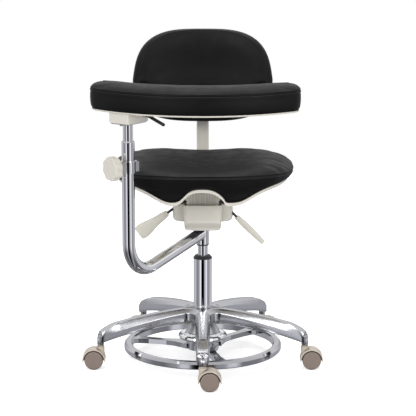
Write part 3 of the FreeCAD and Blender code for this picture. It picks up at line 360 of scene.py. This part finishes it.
def make_materials():
    """One material for each slot of the record."""
    return {
        "satin_aluminium": metal("satin_aluminium", (0.53, 0.533, 0.56), 0.21, 0.02 * MM, 45.0),
        "polished_casting": metal("polished_casting", (0.56, 0.563, 0.59), 0.11, 0.01 * MM, 120.0),
        "grey_casting": metal("grey_casting", (0.60, 0.60, 0.62), 0.45, 0.15 * MM, 700.0),
        "chrome": metal("chrome", (0.86, 0.865, 0.885), 0.035),
        "steel": metal("steel", (0.55, 0.55, 0.57), 0.32, 0.04 * MM, 400.0, (1.0, 1.0, 12.0)),
        "spring_steel": metal("spring_steel", (0.36, 0.36, 0.38), 0.38, 0.04 * MM, 500.0),
        "dark_steel": painted("dark_steel", (0.06, 0.06, 0.062), 0.5, (0.25, 0.25, 0.25)),
        "black_plastic": moulded("black_plastic", (0.018, 0.018, 0.019), 0.46, (0.10, 0.10, 0.10)),
        "black_paint": painted("black_paint", (0.012, 0.012, 0.013), 0.28, (0.16, 0.16, 0.16)),
        "cream_plastic": moulded("cream_plastic", (0.61, 0.585, 0.52), 0.42, (0.72, 0.70, 0.64)),
        "cream_paint": painted("cream_paint", (0.61, 0.585, 0.525), 0.34, (0.72, 0.70, 0.65)),
        "grey_nylon": moulded("grey_nylon", (0.50, 0.50, 0.50), 0.5, (0.6, 0.6, 0.6)),
        # The hood and wheel take near-full painted shade, which blackens the unlit gap between them.
        "hood_plastic": moulded("hood_plastic", (0.55, 0.48, 0.40), 0.26, (0.68, 0.62, 0.55), 0.97),
        "wheel_plastic": moulded("wheel_plastic", (0.235, 0.185, 0.155), 0.48, (0.34, 0.29, 0.25), 0.97),
        "plywood": plywood(),
        "black_leather": leather(),
    }


def dress_nodes(materials):
    """Gives every CAD node the material of its slot."""
    for part in frame["record"]["subparts"]:
        mesh = frame["nodes"][part["node"]].data
        mesh.materials.clear()
        mesh.materials.append(materials[part["material_slot"]])
        for face in mesh.polygons:
            face.material_index = 0


# ---------------------------------------------------------------- meshes in rows

def row_mesh(name, rows):
    """A closed skin over loops of points; the first and last loops close along a line."""
    count = len(rows[0])
    points = [tuple(p) for row in rows for p in row]
    faces = []
    for r in range(len(rows) - 1):
        for k in range(count):
            n = (k + 1) % count
            faces.append((r * count + k, r * count + n, (r + 1) * count + n, (r + 1) * count + k))
    mesh = bpy.data.meshes.new(name)
    mesh.from_pydata(points, [], faces)
    piece = bpy.data.objects.new(name, mesh)
    bpy.context.scene.collection.objects.link(piece)
    row_of = mesh.attributes.new("row", "INT", "POINT")
    for k in range(len(points)):
        row_of.data[k].value = k // count
    work = bmesh.new()
    work.from_mesh(mesh)
    closing = [v for v in work.verts if v.index < count or v.index >= count * (len(rows) - 1)]
    bmesh.ops.remove_doubles(work, verts=closing, dist=0.02 * MM)
    bmesh.ops.dissolve_degenerate(work, edges=work.edges, dist=0.01 * MM)
    bmesh.ops.recalc_face_normals(work, faces=work.faces)
    work.to_mesh(mesh)
    work.free()
    return piece


def finish_piece(piece, body, slot, materials, *replaced):
    """Smooth shading, the slot's material, and the body it rides on."""
    for face in piece.data.polygons:
        face.use_smooth = True
    piece.data.materials.clear()
    piece.data.materials.append(materials[slot])
    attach(piece, body)
    if replaced:
        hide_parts(*replaced)


def bake(piece):
    """Applies every modifier."""
    graph = bpy.context.evaluated_depsgraph_get()
    baked = bpy.data.meshes.new_from_object(piece.evaluated_get(graph))
    piece.modifiers.clear()
    piece.data = baked


def subdivide(piece, levels=1):
    """Rounds the mesh by a subdivision surface."""
    modifier = piece.modifiers.new("rounding", "SUBSURF")
    modifier.levels = levels
    modifier.render_levels = levels
    bake(piece)


def stuff(piece, sewn_rows, cap, pressure=4.0):
    """Inflates the leather between its sewn rows with cloth, and limits how far it moves."""
    scene = bpy.context.scene
    start = [v.co.copy() for v in piece.data.vertices]
    rows = [item.value for item in piece.data.attributes["row"].data]
    sewn = piece.vertex_groups.new(name="sewn")
    sewn.add([k for k, row in enumerate(rows) if row in sewn_rows], 1.0, "REPLACE")
    modifier = piece.modifiers.new("stuffing", "CLOTH")
    settings = modifier.settings
    settings.quality = 5
    settings.mass = 0.25
    settings.tension_stiffness = 12.0
    settings.compression_stiffness = 12.0
    settings.shear_stiffness = 6.0
    settings.bending_stiffness = 2.0
    settings.shrink_min = 0.004
    settings.use_pressure = True
    settings.uniform_pressure_force = pressure
    settings.effector_weights.gravity = 0.0
    settings.vertex_group_mass = "sewn"
    last_step = 20
    for step in range(1, last_step + 1):
        scene.frame_set(step)
    bake(piece)
    for vertex, old in zip(piece.data.vertices, start):
        move = vertex.co - old
        if move.length > 0:
            vertex.co = old + move.normalized() * cap * math.tanh(move.length / cap)
    scene.frame_set(1)


def stitches(name, path, outward, spacing, length, radius):
    """Thread stitches that lie along a closed path of points, each a small rounded bar."""
    sides = 6
    work = bmesh.new()
    total = sum((path[k] - path[k - 1]).length for k in range(len(path)))
    count = int(total / spacing)
    step = total / count
    travelled = 0.0
    target = 0.0
    for k in range(len(path)):
        start, end = path[k - 1], path[k]
        run = (end - start).length
        while target < travelled + run and run > 0:
            along = (end - start) / run
            centre = start + along * (target - travelled)
            lift = outward[k - 1]
            across = along.cross(lift).normalized()
            rings = []
            for shift, size in ((-0.5, 0.25), (-0.36, 0.9), (0.36, 0.9), (0.5, 0.25)):
                ring = []
                for s in range(sides):
                    turn = 2 * math.pi * s / sides
                    offset = across * math.cos(turn) + lift * math.sin(turn)
                    ring.append(work.verts.new(centre + along * shift * length + offset * radius * size))
                rings.append(ring)
            for low, high in zip(rings, rings[1:]):
                for s in range(sides):
                    work.faces.new((low[s], low[(s + 1) % sides], high[(s + 1) % sides], high[s]))
            work.faces.new(list(reversed(rings[0])))
            work.faces.new(rings[-1])
            target += step
        travelled += run
    bmesh.ops.recalc_face_normals(work, faces=work.faces)
    mesh = bpy.data.meshes.new(name)
    work.to_mesh(mesh)
    work.free()
    piece = bpy.data.objects.new(name, mesh)
    bpy.context.scene.collection.objects.link(piece)
    return piece


def superellipse(angle, half_width, half_height, power):
    """A point on a squared-off oval; power 2 is an ellipse."""
    c, s = math.cos(angle), math.sin(angle)
    return (
        half_width * math.copysign(abs(c) ** (2 / power), c),
        half_height * math.copysign(abs(s) ** (2 / power), s))


def even_angles(shape, count):
    """Angles that space points evenly along a closed shape and mirror each other about its long axis."""
    fine = 2000
    half = [math.pi * k / fine for k in range(fine + 1)]
    points = [Vector(shape(a)) for a in half]
    lengths = [0.0]
    for k in range(fine):
        lengths.append(lengths[-1] + (points[k + 1] - points[k]).length)
    angles = []
    k = 0
    for step in range(count // 2 + 1):
        wanted = lengths[-1] * step / (count // 2)
        while k < fine - 1 and lengths[k + 1] < wanted:
            k += 1
        part = (wanted - lengths[k]) / (lengths[k + 1] - lengths[k])
        angles.append(half[k] + min(max(part, 0.0), 1.0) * math.pi / fine)
    return angles + [2 * math.pi - a for a in reversed(angles[1:-1])]


def node_surface(name):
    """The CAD node's surface, for finding where a ray meets it."""
    mesh = frame["nodes"][name].data
    return BVHTree.FromPolygons([v.co for v in mesh.vertices], [p.vertices for p in mesh.polygons])


# ---------------------------------------------------------------- seat cushion

def seat_plan_point(angle, low, high):
    """The seat's outline: blunter at the back than at the front."""
    if math.sin(angle) > 0:
        x, y = superellipse(angle, high.x, high.y, 3.0)
    else:
        x, y = superellipse(angle, high.x, -low.y, 2.38)
    return Vector((x, y, 0.0))


def make_seat_cushion(materials):
    """A two-panel leather seat, seamed round its widest line, whose front rolls over the wave rim."""
    low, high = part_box("seat_cushion")
    board_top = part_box("seat_board")[1].z
    shell = node_surface("seat_shell")
    seam_z = high.z - 21 * MM
    count = 288
    angles = even_angles(lambda a: seat_plan_point(a, low, high)[:2], count)
    outline = [seat_plan_point(a, low, high) for a in angles]
    normals = []
    for k in range(count):
        along = outline[(k + 1) % count] - outline[k - 1]
        normals.append(Vector((along.y, -along.x, 0)).normalized())
    spine_half = 0.55 * high.x
    spine = [Vector((spine_half * p.x / high.x, 4 * MM, 0)) for p in outline]

    def on_shell(point):
        hit = shell.ray_cast(Vector((point.x, point.y, high.z)), Vector((0, 0, -1)))[0]
        return hit.z if hit else board_top

    def inset(distance):
        return [p - n * distance * MM for p, n in zip(outline, normals)]

    def saddle(point):
        across = min(abs(point.x) / 0.125, 1.0)
        return 6.5 * MM * 0.5 * (1 + math.cos(math.pi * across))

    def front_roll(point):
        forward = max(0.0, -point.y - 0.06) / 0.15
        return 9.0 * MM * forward ** 2

    def seam(point):
        """The seam's height, which rises a little round the front."""
        return seam_z + 7 * MM * max(0.0, (-point.y - 0.05) / 0.16) ** 1.5

    def top(points, drop):
        """A row of the upper panel, a distance below the crown."""
        fade = 1 - drop / 24
        return [
            Vector((p.x, p.y, high.z - drop * MM - saddle(p) - front_roll(p) * fade)) for p in points]

    rows = []
    ring = inset(48)
    for part in (1.0, 0.9, 0.78, 0.64, 0.48, 0.32, 0.16):
        points = [p.lerp(s, part) for p, s in zip(ring, spine)]
        rows.append(top(points, 0.4))
    shoulder = ((48, 0.5), (38, 0.9), (29, 1.9), (21, 3.9), (14.5, 6.6), (9, 10.0), (5, 13.6), (2.2, 17.2))
    for distance, drop in shoulder:
        rows.append(top(inset(distance), drop))
    first_seam = len(rows)
    for distance, lift in ((0.5, 4.2), (1.5, 1.8), (3.4, 0.0), (1.2, -1.6), (0.1, -3.8)):
        rows.append([Vector((p.x, p.y, seam(p) + lift * MM)) for p in inset(distance)])
    last_seam = len(rows) - 1

    foot = inset(19)
    rim = [on_shell(p) for p in inset(24)]
    edge = [max(seam_z - 34 * MM, z + 2 * MM) for z in rim]
    for part, distance in ((0.16, 0.2), (0.34, 1.4), (0.52, 3.6), (0.70, 6.8), (0.86, 10.8), (1.0, 15.5)):
        points = inset(distance)
        rows.append([Vector((p.x, p.y, seam(p) + (z - seam(p)) * part)) for p, z in zip(points, edge)])
    lower_edge = len(rows) - 1
    for part, distance in ((0.25, 17.0), (0.5, 17.6), (0.75, 18.3), (1.0, 19.5)):
        points = inset(distance)
        rows.append([
            Vector((p.x, p.y, z + (r + 0.6 * MM - z) * part)) for p, z, r in zip(points, edge, rim)])
    for distance in (27, 38, 50, 60):
        points = inset(distance)
        rows.append([Vector((p.x, p.y, on_shell(p) + 0.7 * MM)) for p in points])
    rows.append([Vector((p.x, p.y, board_top + 1.0 * MM)) for p in inset(61)])
    for part in (0.4, 1.0):
        points = [p.lerp(s, part) for p, s in zip(inset(61), spine)]
        rows.append([Vector((p.x, p.y, board_top + 1.0 * MM)) for p in points])
    cushion = row_mesh("seat_upholstery", rows)
    fixed = set(range(first_seam + 1, last_seam)) | set(range(lower_edge, len(rows)))
    stuff(cushion, fixed, 4 * MM)
    subdivide(cushion)
    finish_piece(cushion, "seat", "black_leather", materials, "seat_cushion")

    line = [Vector((p.x, p.y, seam(p) - 4.6 * MM)) for p in inset(-0.4)]
    thread = stitches("seat_seam_stitches", line, normals, 5.0 * MM, 4.0 * MM, 0.6 * MM)
    finish_piece(thread, "seat", "black_plastic", materials)


# ---------------------------------------------------------------- back cushion

def make_back_cushion(materials):
    """A dished back: a front panel sewn to a narrow sloping border that meets the rear shell."""
    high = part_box("back_cushion")[1]
    half_width = high.x
    centre_z = 0.735
    axis_y = -0.180
    near = 0.420
    depth = 0.042
    count = 256

    def plan(angle):
        """The back's outline: a shouldered dome above its widest line and a flatter bow below."""
        if math.sin(angle) > 0:
            x, up = superellipse(angle, half_width, 0.137, 3.3)
            return x * (1 - 0.1 * up / 0.137), up
        return superellipse(angle, half_width, 0.123, 2.9)

    angles = even_angles(plan, count)
    outline = [Vector(plan(a)) for a in angles]
    normals = []
    for k in range(count):
        along = outline[(k + 1) % count] - outline[k - 1]
        normals.append(Vector((along.y, -along.x)).normalized())
    spine = [Vector((0.35 * p.x, 0.0)) for p in outline]

    def lumbar(x, up):
        """How far the padding stands towards the sitter, low on the back and most in the middle."""
        height = (up + 35 * MM) / (52 * MM)
        width = x / (120 * MM)
        return 9 * MM * math.exp(-height * height) * (0.45 + 0.55 * math.exp(-width * width))

    def place(point, deep, swell):
        """A point of the back at a depth behind the front face."""
        radius = near + deep - swell * lumbar(point.x, point.y)
        return Vector((point.x, axis_y + math.sqrt(radius ** 2 - point.x ** 2), centre_z + point.y))

    def inset(side, top, extra=0.0):
        """The outline drawn in, more at the sides than at the top."""
        points = []
        for p, n in zip(outline, normals):
            amount = side * abs(n.x) + top * abs(n.y) + extra
            points.append(p - n * amount * MM)
        return points

    rows = []
    ring = inset(52, 44)
    for part in (1.0, 0.84, 0.68, 0.52, 0.36, 0.18):
        rows.append([place(p.lerp(s, part), 0.0, 1.0) for p, s in zip(ring, spine)])
    for side, top, deep, swell in (
            (52, 44, 0.0, 1.0), (42, 32, 0.2, 1.0), (33, 22, 0.8, 0.9), (26, 14, 2.0, 0.75),
            (21, 9, 3.6, 0.6)):
        rows.append([place(p, deep * MM, swell) for p in inset(side, top)])
    first_seam = len(rows)
    for extra, deep in ((1.6, 4.9), (0.8, 6.2), (0.0, 7.4), (-0.9, 6.9), (-2.2, 7.6)):
        rows.append([place(p, deep * MM, 0.5) for p in inset(16, 5, extra)])
    last_seam = len(rows) - 1
    for side, top, deep in (
            (11.5, 2.4, 9.6), (8.6, 1.0, 12.5), (5.6, 0.2, 16.5), (3.0, 0.0, 21.5), (1.2, 0.0, 27.0),
            (0.6, 0.4, 32.5), (1.4, 1.4, 37.0), (3.4, 3.4, 40.0), (7.0, 7.0, 41.2)):
        rows.append([place(p, deep * MM, 0.0) for p in inset(side, top)])
    hem = len(rows) - 1
    for part in (0.25, 0.5, 1.0):
        rows.append([place(p.lerp(s, part), depth - 0.6 * MM, 0.0) for p, s in zip(inset(7, 7), spine)])
    cushion = row_mesh("back_upholstery", rows)
    fixed = set(range(first_seam + 1, last_seam)) | set(range(hem - 1, len(rows)))
    stuff(cushion, fixed, 3 * MM)
    subdivide(cushion)
    finish_piece(cushion, "backrest", "black_leather", materials, "back_cushion")


# ---------------------------------------------------------------- support pad

def make_pad_cushion(materials):
    """A curved arm pad: a crowned top panel, a narrow topstitched band and a deep side wall."""
    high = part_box("pad_cushion")[1]
    near, far = 0.270, 0.365
    start, end = math.radians(-138.0), math.radians(-51.5)
    centre_radius = (near + far) / 2
    half = (far - near) / 2
    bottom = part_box("pad_shell")[0].z + 3.6 * MM
    step = 4.2 * MM
    straight = int((end - start) * centre_radius / step)
    round_steps = 30
    outline, normals, spine = [], [], []

    def polar(radius, angle):
        return Vector((radius * math.cos(angle), radius * math.sin(angle), 0))

    def add_side(sign, angles):
        for a in angles:
            outward = polar(1.0, a) * sign
            outline.append(polar(centre_radius, a) + outward * half)
            normals.append(outward)
            spine.append(polar(centre_radius, a))

    def add_cap(angle, sign):
        """The rounded end, from the outer side round to the inner side."""
        centre = polar(centre_radius, angle)
        outward = polar(1.0, angle)
        ahead = Vector((-math.sin(angle), math.cos(angle), 0)) * sign
        turns = [math.pi * k / round_steps for k in range(1, round_steps)]
        if sign < 0:
            turns.reverse()
        for t in turns:
            direction = outward * math.cos(t) + ahead * math.sin(t)
            outline.append(centre + direction * half)
            normals.append(direction)
            spine.append(centre + ahead * 0.55 * half * math.sin(t))

    forward = [start + (end - start) * k / straight for k in range(straight + 1)]
    add_side(1, forward)
    add_cap(end, 1)
    add_side(-1, list(reversed(forward)))
    add_cap(start, -1)

    def inset(distance, z):
        rise = Vector((0, 0, z))
        return [p - n * distance * MM + rise for p, n in zip(outline, normals)]

    seam = high.z - 14.5 * MM
    second = seam - 7.6 * MM
    rows = []
    inner = inset(30, high.z)
    for part in (1.0, 0.66, 0.33):
        rows.append([p.lerp(s + Vector((0, 0, high.z)), part) for p, s in zip(inner, spine)])
    shoulder = ((30, 0.1), (23, 0.5), (16.5, 1.6), (11, 3.6), (6.6, 6.4), (3.4, 9.4), (1.4, 12.0))
    for distance, drop in shoulder:
        rows.append(inset(distance, high.z - drop * MM))
    grooves = []
    for z, depth in ((seam, 1.9), (second, 1.3)):
        first = len(rows)
        slope = 0.55 * depth
        for distance, lift in ((0.15, 1.5), (slope, 0.65), (depth, 0.0), (slope, -0.65), (0.1, -1.5)):
            rows.append(inset(distance, z + lift * MM))
        grooves += [first + 1, first + 2, first + 3]
        if z == seam:
            rows.append(inset(-0.35, (seam + second) / 2))
    wall = second - bottom
    for part, distance in (
            (0.14, -0.3), (0.30, -0.5), (0.46, -0.4), (0.62, 0.0), (0.76, 0.8), (0.86, 2.0),
            (0.93, 3.8), (0.975, 6.6), (0.99, 11.0)):
        rows.append(inset(distance, second - part * wall))
    hem = len(rows)
    for distance in (19, 30):
        rows.append(inset(distance, bottom + 0.3 * MM))
    rows.append([s + Vector((0, 0, bottom + 0.3 * MM)) for s in spine])
    cushion = row_mesh("pad_upholstery", rows)
    stuff(cushion, set(grooves) | set(range(hem, len(rows))), 3 * MM)
    subdivide(cushion)
    finish_piece(cushion, "pad", "black_leather", materials, "pad_cushion")

    line = inset(-0.1, second + 2.6 * MM)
    thread = stitches("pad_seam_stitches", line, normals, 5.0 * MM, 4.0 * MM, 0.5 * MM)
    finish_piece(thread, "pad", "black_plastic", materials)


# ---------------------------------------------------------------- star base

ARM_REACH = 294.5
CASTOR_RADIUS = 286
ARM_ANGLES = (-90, -18, 54, 126, 198)
FILLET_RADIUS = 24.0
ARM_HALF = 20.0


def arm_top(u):
    """The height in millimetres of an arm's crown, a distance out from the column."""
    if u < 236:
        return 148 - 25 * (u / 236) ** 1.9
    return 123 - 29 * ((u - 236) / 58.5) ** 1.35


def arm_crease(u):
    """The height of the line where the upright side turns into the bevel."""
    return 140 - 51.5 * (u / ARM_REACH) ** 1.6


def arm_foot(u):
    """The height of the side's lower edge."""
    return 112 - 42 * (u / ARM_REACH) ** 2.2


def arm_half_width(u):
    if u < 280:
        return ARM_HALF - 3 * (u / 280) ** 3
    return 17 - 2.2 * min((u - 280) / 8.5, 1.0) ** 2


def crown_half_width(u):
    """A narrow crown that opens into a drop-shaped facet near the arm's end."""
    if u < 236:
        return 8.5
    if u < 276:
        return 8.5 + 5.6 * math.sin(math.pi / 2 * (u - 236) / 40)
    if u < 284:
        return 14.1 - 2.0 * ((u - 276) / 8) ** 2
    return 12.1 * math.sqrt(max(0.0, (ARM_REACH - u) / (ARM_REACH - 284)))


def half_arm():
    """Half of one arm's plan, from its tip in to the fillet between two arms.

    Each entry holds the place along and across the arm, the outward normal and the place on the spine.
    """
    entries = [(ARM_REACH, 0.0, 1.0, 0.0, ARM_REACH, 0.0)]
    for u, half in ((292.5, 5.0), (290.4, 10.2), (288.5, 14.8)):
        entries.append((u, half, 0.92, 0.38, u, 0.0))
    fillet_centre = (FILLET_RADIUS + ARM_HALF) / math.sin(math.radians(36))
    centre_u = fillet_centre * math.cos(math.radians(36))
    centre_w = fillet_centre * math.sin(math.radians(36))
    stations = (
        287.6, 285, 281, 276, 270, 262, 254, 247, 241, 237.5, 236, 234.5, 231, 224, 212, 196, 178, 158, 138,
        118, 100, 84, 71, centre_u)
    for u in stations:
        entries.append((u, arm_half_width(u), 0.0, 1.0, u, 0.0))
    inner = 24.5
    entries.append((centre_u - 0.1, arm_half_width(centre_u), 0.0, 1.0, inner, 0.0))
    steps = 10
    for k in range(1, steps + 1):
        turn = math.radians(54) * k / steps
        nu, nw = math.sin(turn), math.cos(turn)
        around = math.radians(36) * k / steps
        entries.append((
            centre_u - FILLET_RADIUS * nu, centre_w - FILLET_RADIUS * nw, nu, nw,
            inner * math.cos(around), inner * math.sin(around)))
    return entries


def add_barrel(work, centre, profile, sides=32):
    """Adds a closed body of revolution round an upright axis from a (radius, height) profile."""
    turns = [2 * math.pi * s / sides for s in range(sides)]
    rings = []
    for radius, height in profile:
        around = [Vector((radius * math.cos(t), radius * math.sin(t), height)) for t in turns]
        rings.append([work.verts.new(centre + p * MM) for p in around])
    for low, high in zip(rings, rings[1:]):
        for s in range(sides):
            n = (s + 1) % sides
            work.faces.new((low[s], low[n], high[n], high[s]))
    work.faces.new(list(reversed(rings[0])))
    work.faces.new(rings[-1])


def make_star_base(materials):
    """The five-arm casting: upright sides, broad bevels, a narrow crown and a pointed prow."""
    half = half_arm()
    entries = []
    for angle in ARM_ANGLES:
        turn = math.radians(angle)
        c, s = math.cos(turn), math.sin(turn)
        mirrored = [(u, -w, nu, -nw, su, -sw) for u, w, nu, nw, su, sw in reversed(half[1:])]
        for u, w, nu, nw, su, sw in mirrored + half[:-1]:
            entries.append((
                u, Vector((u * c - w * s, u * s + w * c, 0)), Vector((nu * c - nw * s, nu * s + nw * c, 0)),
                Vector((su * c - sw * s, su * s + sw * c, 0))))

    def row(inset, height, on_spine=False):
        points = []
        for u, place, normal, spine in entries:
            bevel = arm_half_width(u) - crown_half_width(u)
            depth = inset(bevel) if callable(inset) else inset
            if u > 288:
                depth = min(depth, 0.75 * (ARM_REACH - u) + 1.2)
            point = spine if on_spine else place - normal * depth
            points.append(Vector((point.x, point.y, height(u))) * MM)
        return points

    def side(share):
        return lambda u: arm_foot(u) + (arm_crease(u) - arm_foot(u)) * share

    def slope(share):
        return lambda u: arm_crease(u) + (arm_top(u) - arm_crease(u)) * share

    rows = [
        row(0, lambda u: arm_foot(u) + 14, on_spine=True),
        row(5.0, lambda u: arm_foot(u) + 14),
        row(4.4, lambda u: arm_foot(u) + 0.8),
        row(3.8, lambda u: arm_foot(u)),
        row(1.1, lambda u: arm_foot(u)),
        row(0.3, lambda u: arm_foot(u) + 0.4),
        row(0.0, lambda u: arm_foot(u) + 1.4),
        row(0.0, side(0.5)),
        row(0.0, lambda u: arm_crease(u) - 1.2),
        row(0.25, lambda u: arm_crease(u) - 0.1),
        row(lambda b: 0.10 * b, slope(0.09)),
        row(lambda b: 0.30 * b, slope(0.36)),
        row(lambda b: 0.60 * b, slope(0.70)),
        row(lambda b: 0.90 * b, slope(0.955)),
        row(lambda b: b, slope(1.0)),
        row(lambda b: b + 0.8, lambda u: arm_top(u) + 0.15),
        row(0, lambda u: arm_top(u) + 0.5, on_spine=True),
    ]
    count = len(entries)
    faces = []
    for r in range(len(rows) - 1):
        for k in range(count):
            n = (k + 1) % count
            faces.append((r * count + k, r * count + n, (r + 1) * count + n, (r + 1) * count + k))
    last = (len(rows) - 1) * count
    for k in range(count):
        n = (k + 1) % count
        if max(entries[k][3].length, entries[n][3].length) < 26:
            faces.append((last + k, last + n, n, k))
    mesh = bpy.data.meshes.new("star_base_casting")
    mesh.from_pydata([tuple(p) for points in rows for p in points], [], faces)
    work = bmesh.new()
    work.from_mesh(mesh)
    bmesh.ops.remove_doubles(work, verts=work.verts, dist=0.02 * MM)
    bmesh.ops.dissolve_degenerate(work, edges=work.edges, dist=0.01 * MM)
    for angle in ARM_ANGLES:
        turn = math.radians(angle)
        castor = Vector((CASTOR_RADIUS * math.cos(turn), CASTOR_RADIUS * math.sin(turn), 0)) * MM
        add_barrel(work, castor, ((6.0, 66.0), (8.6, 65.6), (9.2, 66.2), (9.2, 84.0), (6.0, 84.0)))
    bmesh.ops.recalc_face_normals(work, faces=work.faces)
    work.to_mesh(mesh)
    work.free()
    piece = bpy.data.objects.new("star_base_casting", mesh)
    bpy.context.scene.collection.objects.link(piece)
    finish_piece(piece, "base", "satin_aluminium", materials, "star_base")


def make_return_spring(materials):
    """The foot ring's return spring, copied from its CAD node as a piece of its own on the base."""
    node = frame["nodes"]["ring_spring"]
    spring = bpy.data.objects.new("return_spring", node.data.copy())
    spring.matrix_world = node.matrix_world.copy()
    bpy.context.scene.collection.objects.link(spring)
    finish_piece(spring, "base", "spring_steel", materials, "ring_spring")
    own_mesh(spring)


# ---------------------------------------------------------------- mechanism covers

def rounded_plan(half_x, front, back, power=5.0, count=96):
    """A rounded rectangle in plan, from a front edge to a back edge."""
    angles = even_angles(lambda a: superellipse(a, half_x, (back - front) / 2, power), count)
    return [
        Vector((x, y + (front + back) / 2, 0))
        for x, y in (superellipse(a, half_x, (back - front) / 2, power) for a in angles)]


def moulded_tub(name, sections, wall, floor, body, materials, *replaced):
    """An open-topped moulding: outer skin upwards, a rounded lip, and the inner skin down to its floor.

    Each section holds a height, a half-width, a front and a back edge, and an inset for the rounding.
    """
    z, half, front, back, inset = sections[0]
    plan = rounded_plan(half - inset, front + inset, back - inset)
    middle = Vector((0, (front + back) / 2, 0))
    rows = []
    for share in (0.0, 0.45, 0.85):
        rows.append([(middle.lerp(p, share) + Vector((0, 0, z))) * MM for p in plan])
    for z, half, front, back, inset in sections:
        plan = rounded_plan(half - inset, front + inset, back - inset)
        rows.append([(p + Vector((0, 0, z))) * MM for p in plan])
    for drop, depth in ((-0.7, 0.5), (-0.9, 1.3), (-0.5, wall - 0.5), (0.6, wall), (z - floor, wall + 0.5)):
        plan = rounded_plan(half - inset - depth, front + inset + depth, back - inset - depth)
        rows.append([(p + Vector((0, 0, z - drop))) * MM for p in plan])
    inner = rows[-1]
    centre = Vector((0, (front + back) / 2, floor)) * MM
    for share in (0.3, 0.0):
        rows.append([centre.lerp(p, share) for p in inner])
    piece = row_mesh(name, rows)
    finish_piece(piece, body, "cream_plastic", materials, *replaced)


def make_covers(materials):
    """The bowed nose and the housing's skirt with its rounded side bulges."""
    nose = []
    rounding = ((374.2, 6.5), (374.9, 3.6), (376.8, 1.5), (380.5, 0.3))
    for z, inset in rounding + tuple((z, 0) for z in (386, 400, 415, 430, 443)):
        share = max(0.0, (z - 374) / 72) ** 0.5
        nose.append((z, 46.6 + 5.0 * share, -(90.0 + 8.4 * share), -50.0, inset))
    moulded_tub("front_cover_moulding", nose, 3.0, 384.0, "carrier", materials, "front_cover")
    skirt = []
    rounding = ((390.2, 9.5), (391.0, 5.6), (393.2, 2.4), (397.0, 0.6))
    for z, inset in rounding + tuple((z, 0) for z in (403, 415, 428, 439)):
        skirt.append((z, 80.5, -56.0, 83.5, inset))
    moulded_tub("body_cover_moulding", skirt, 3.0, 400.0, "carrier", materials, "body_cover")


# ---------------------------------------------------------------- the scene

bpy.context.scene.view_settings.view_transform = "Standard"
make_camera()
make_studio()
make_floor()
make_softbox("key", (-1.7, -2.8, 2.3), 1.6, 1.6, 40.0)
make_softbox("fill", (1.9, -2.7, 1.6), 1.4, 1.8, 26.0)
make_softbox("overhead", (0.0, 0.3, 2.8), 2.4, 1.6, 30.0)
finishes = make_materials()
dress_nodes(finishes)
make_star_base(finishes)
make_return_spring(finishes)
make_covers(finishes)
make_seat_cushion(finishes)
make_back_cushion(finishes)
make_pad_cushion(finishes)
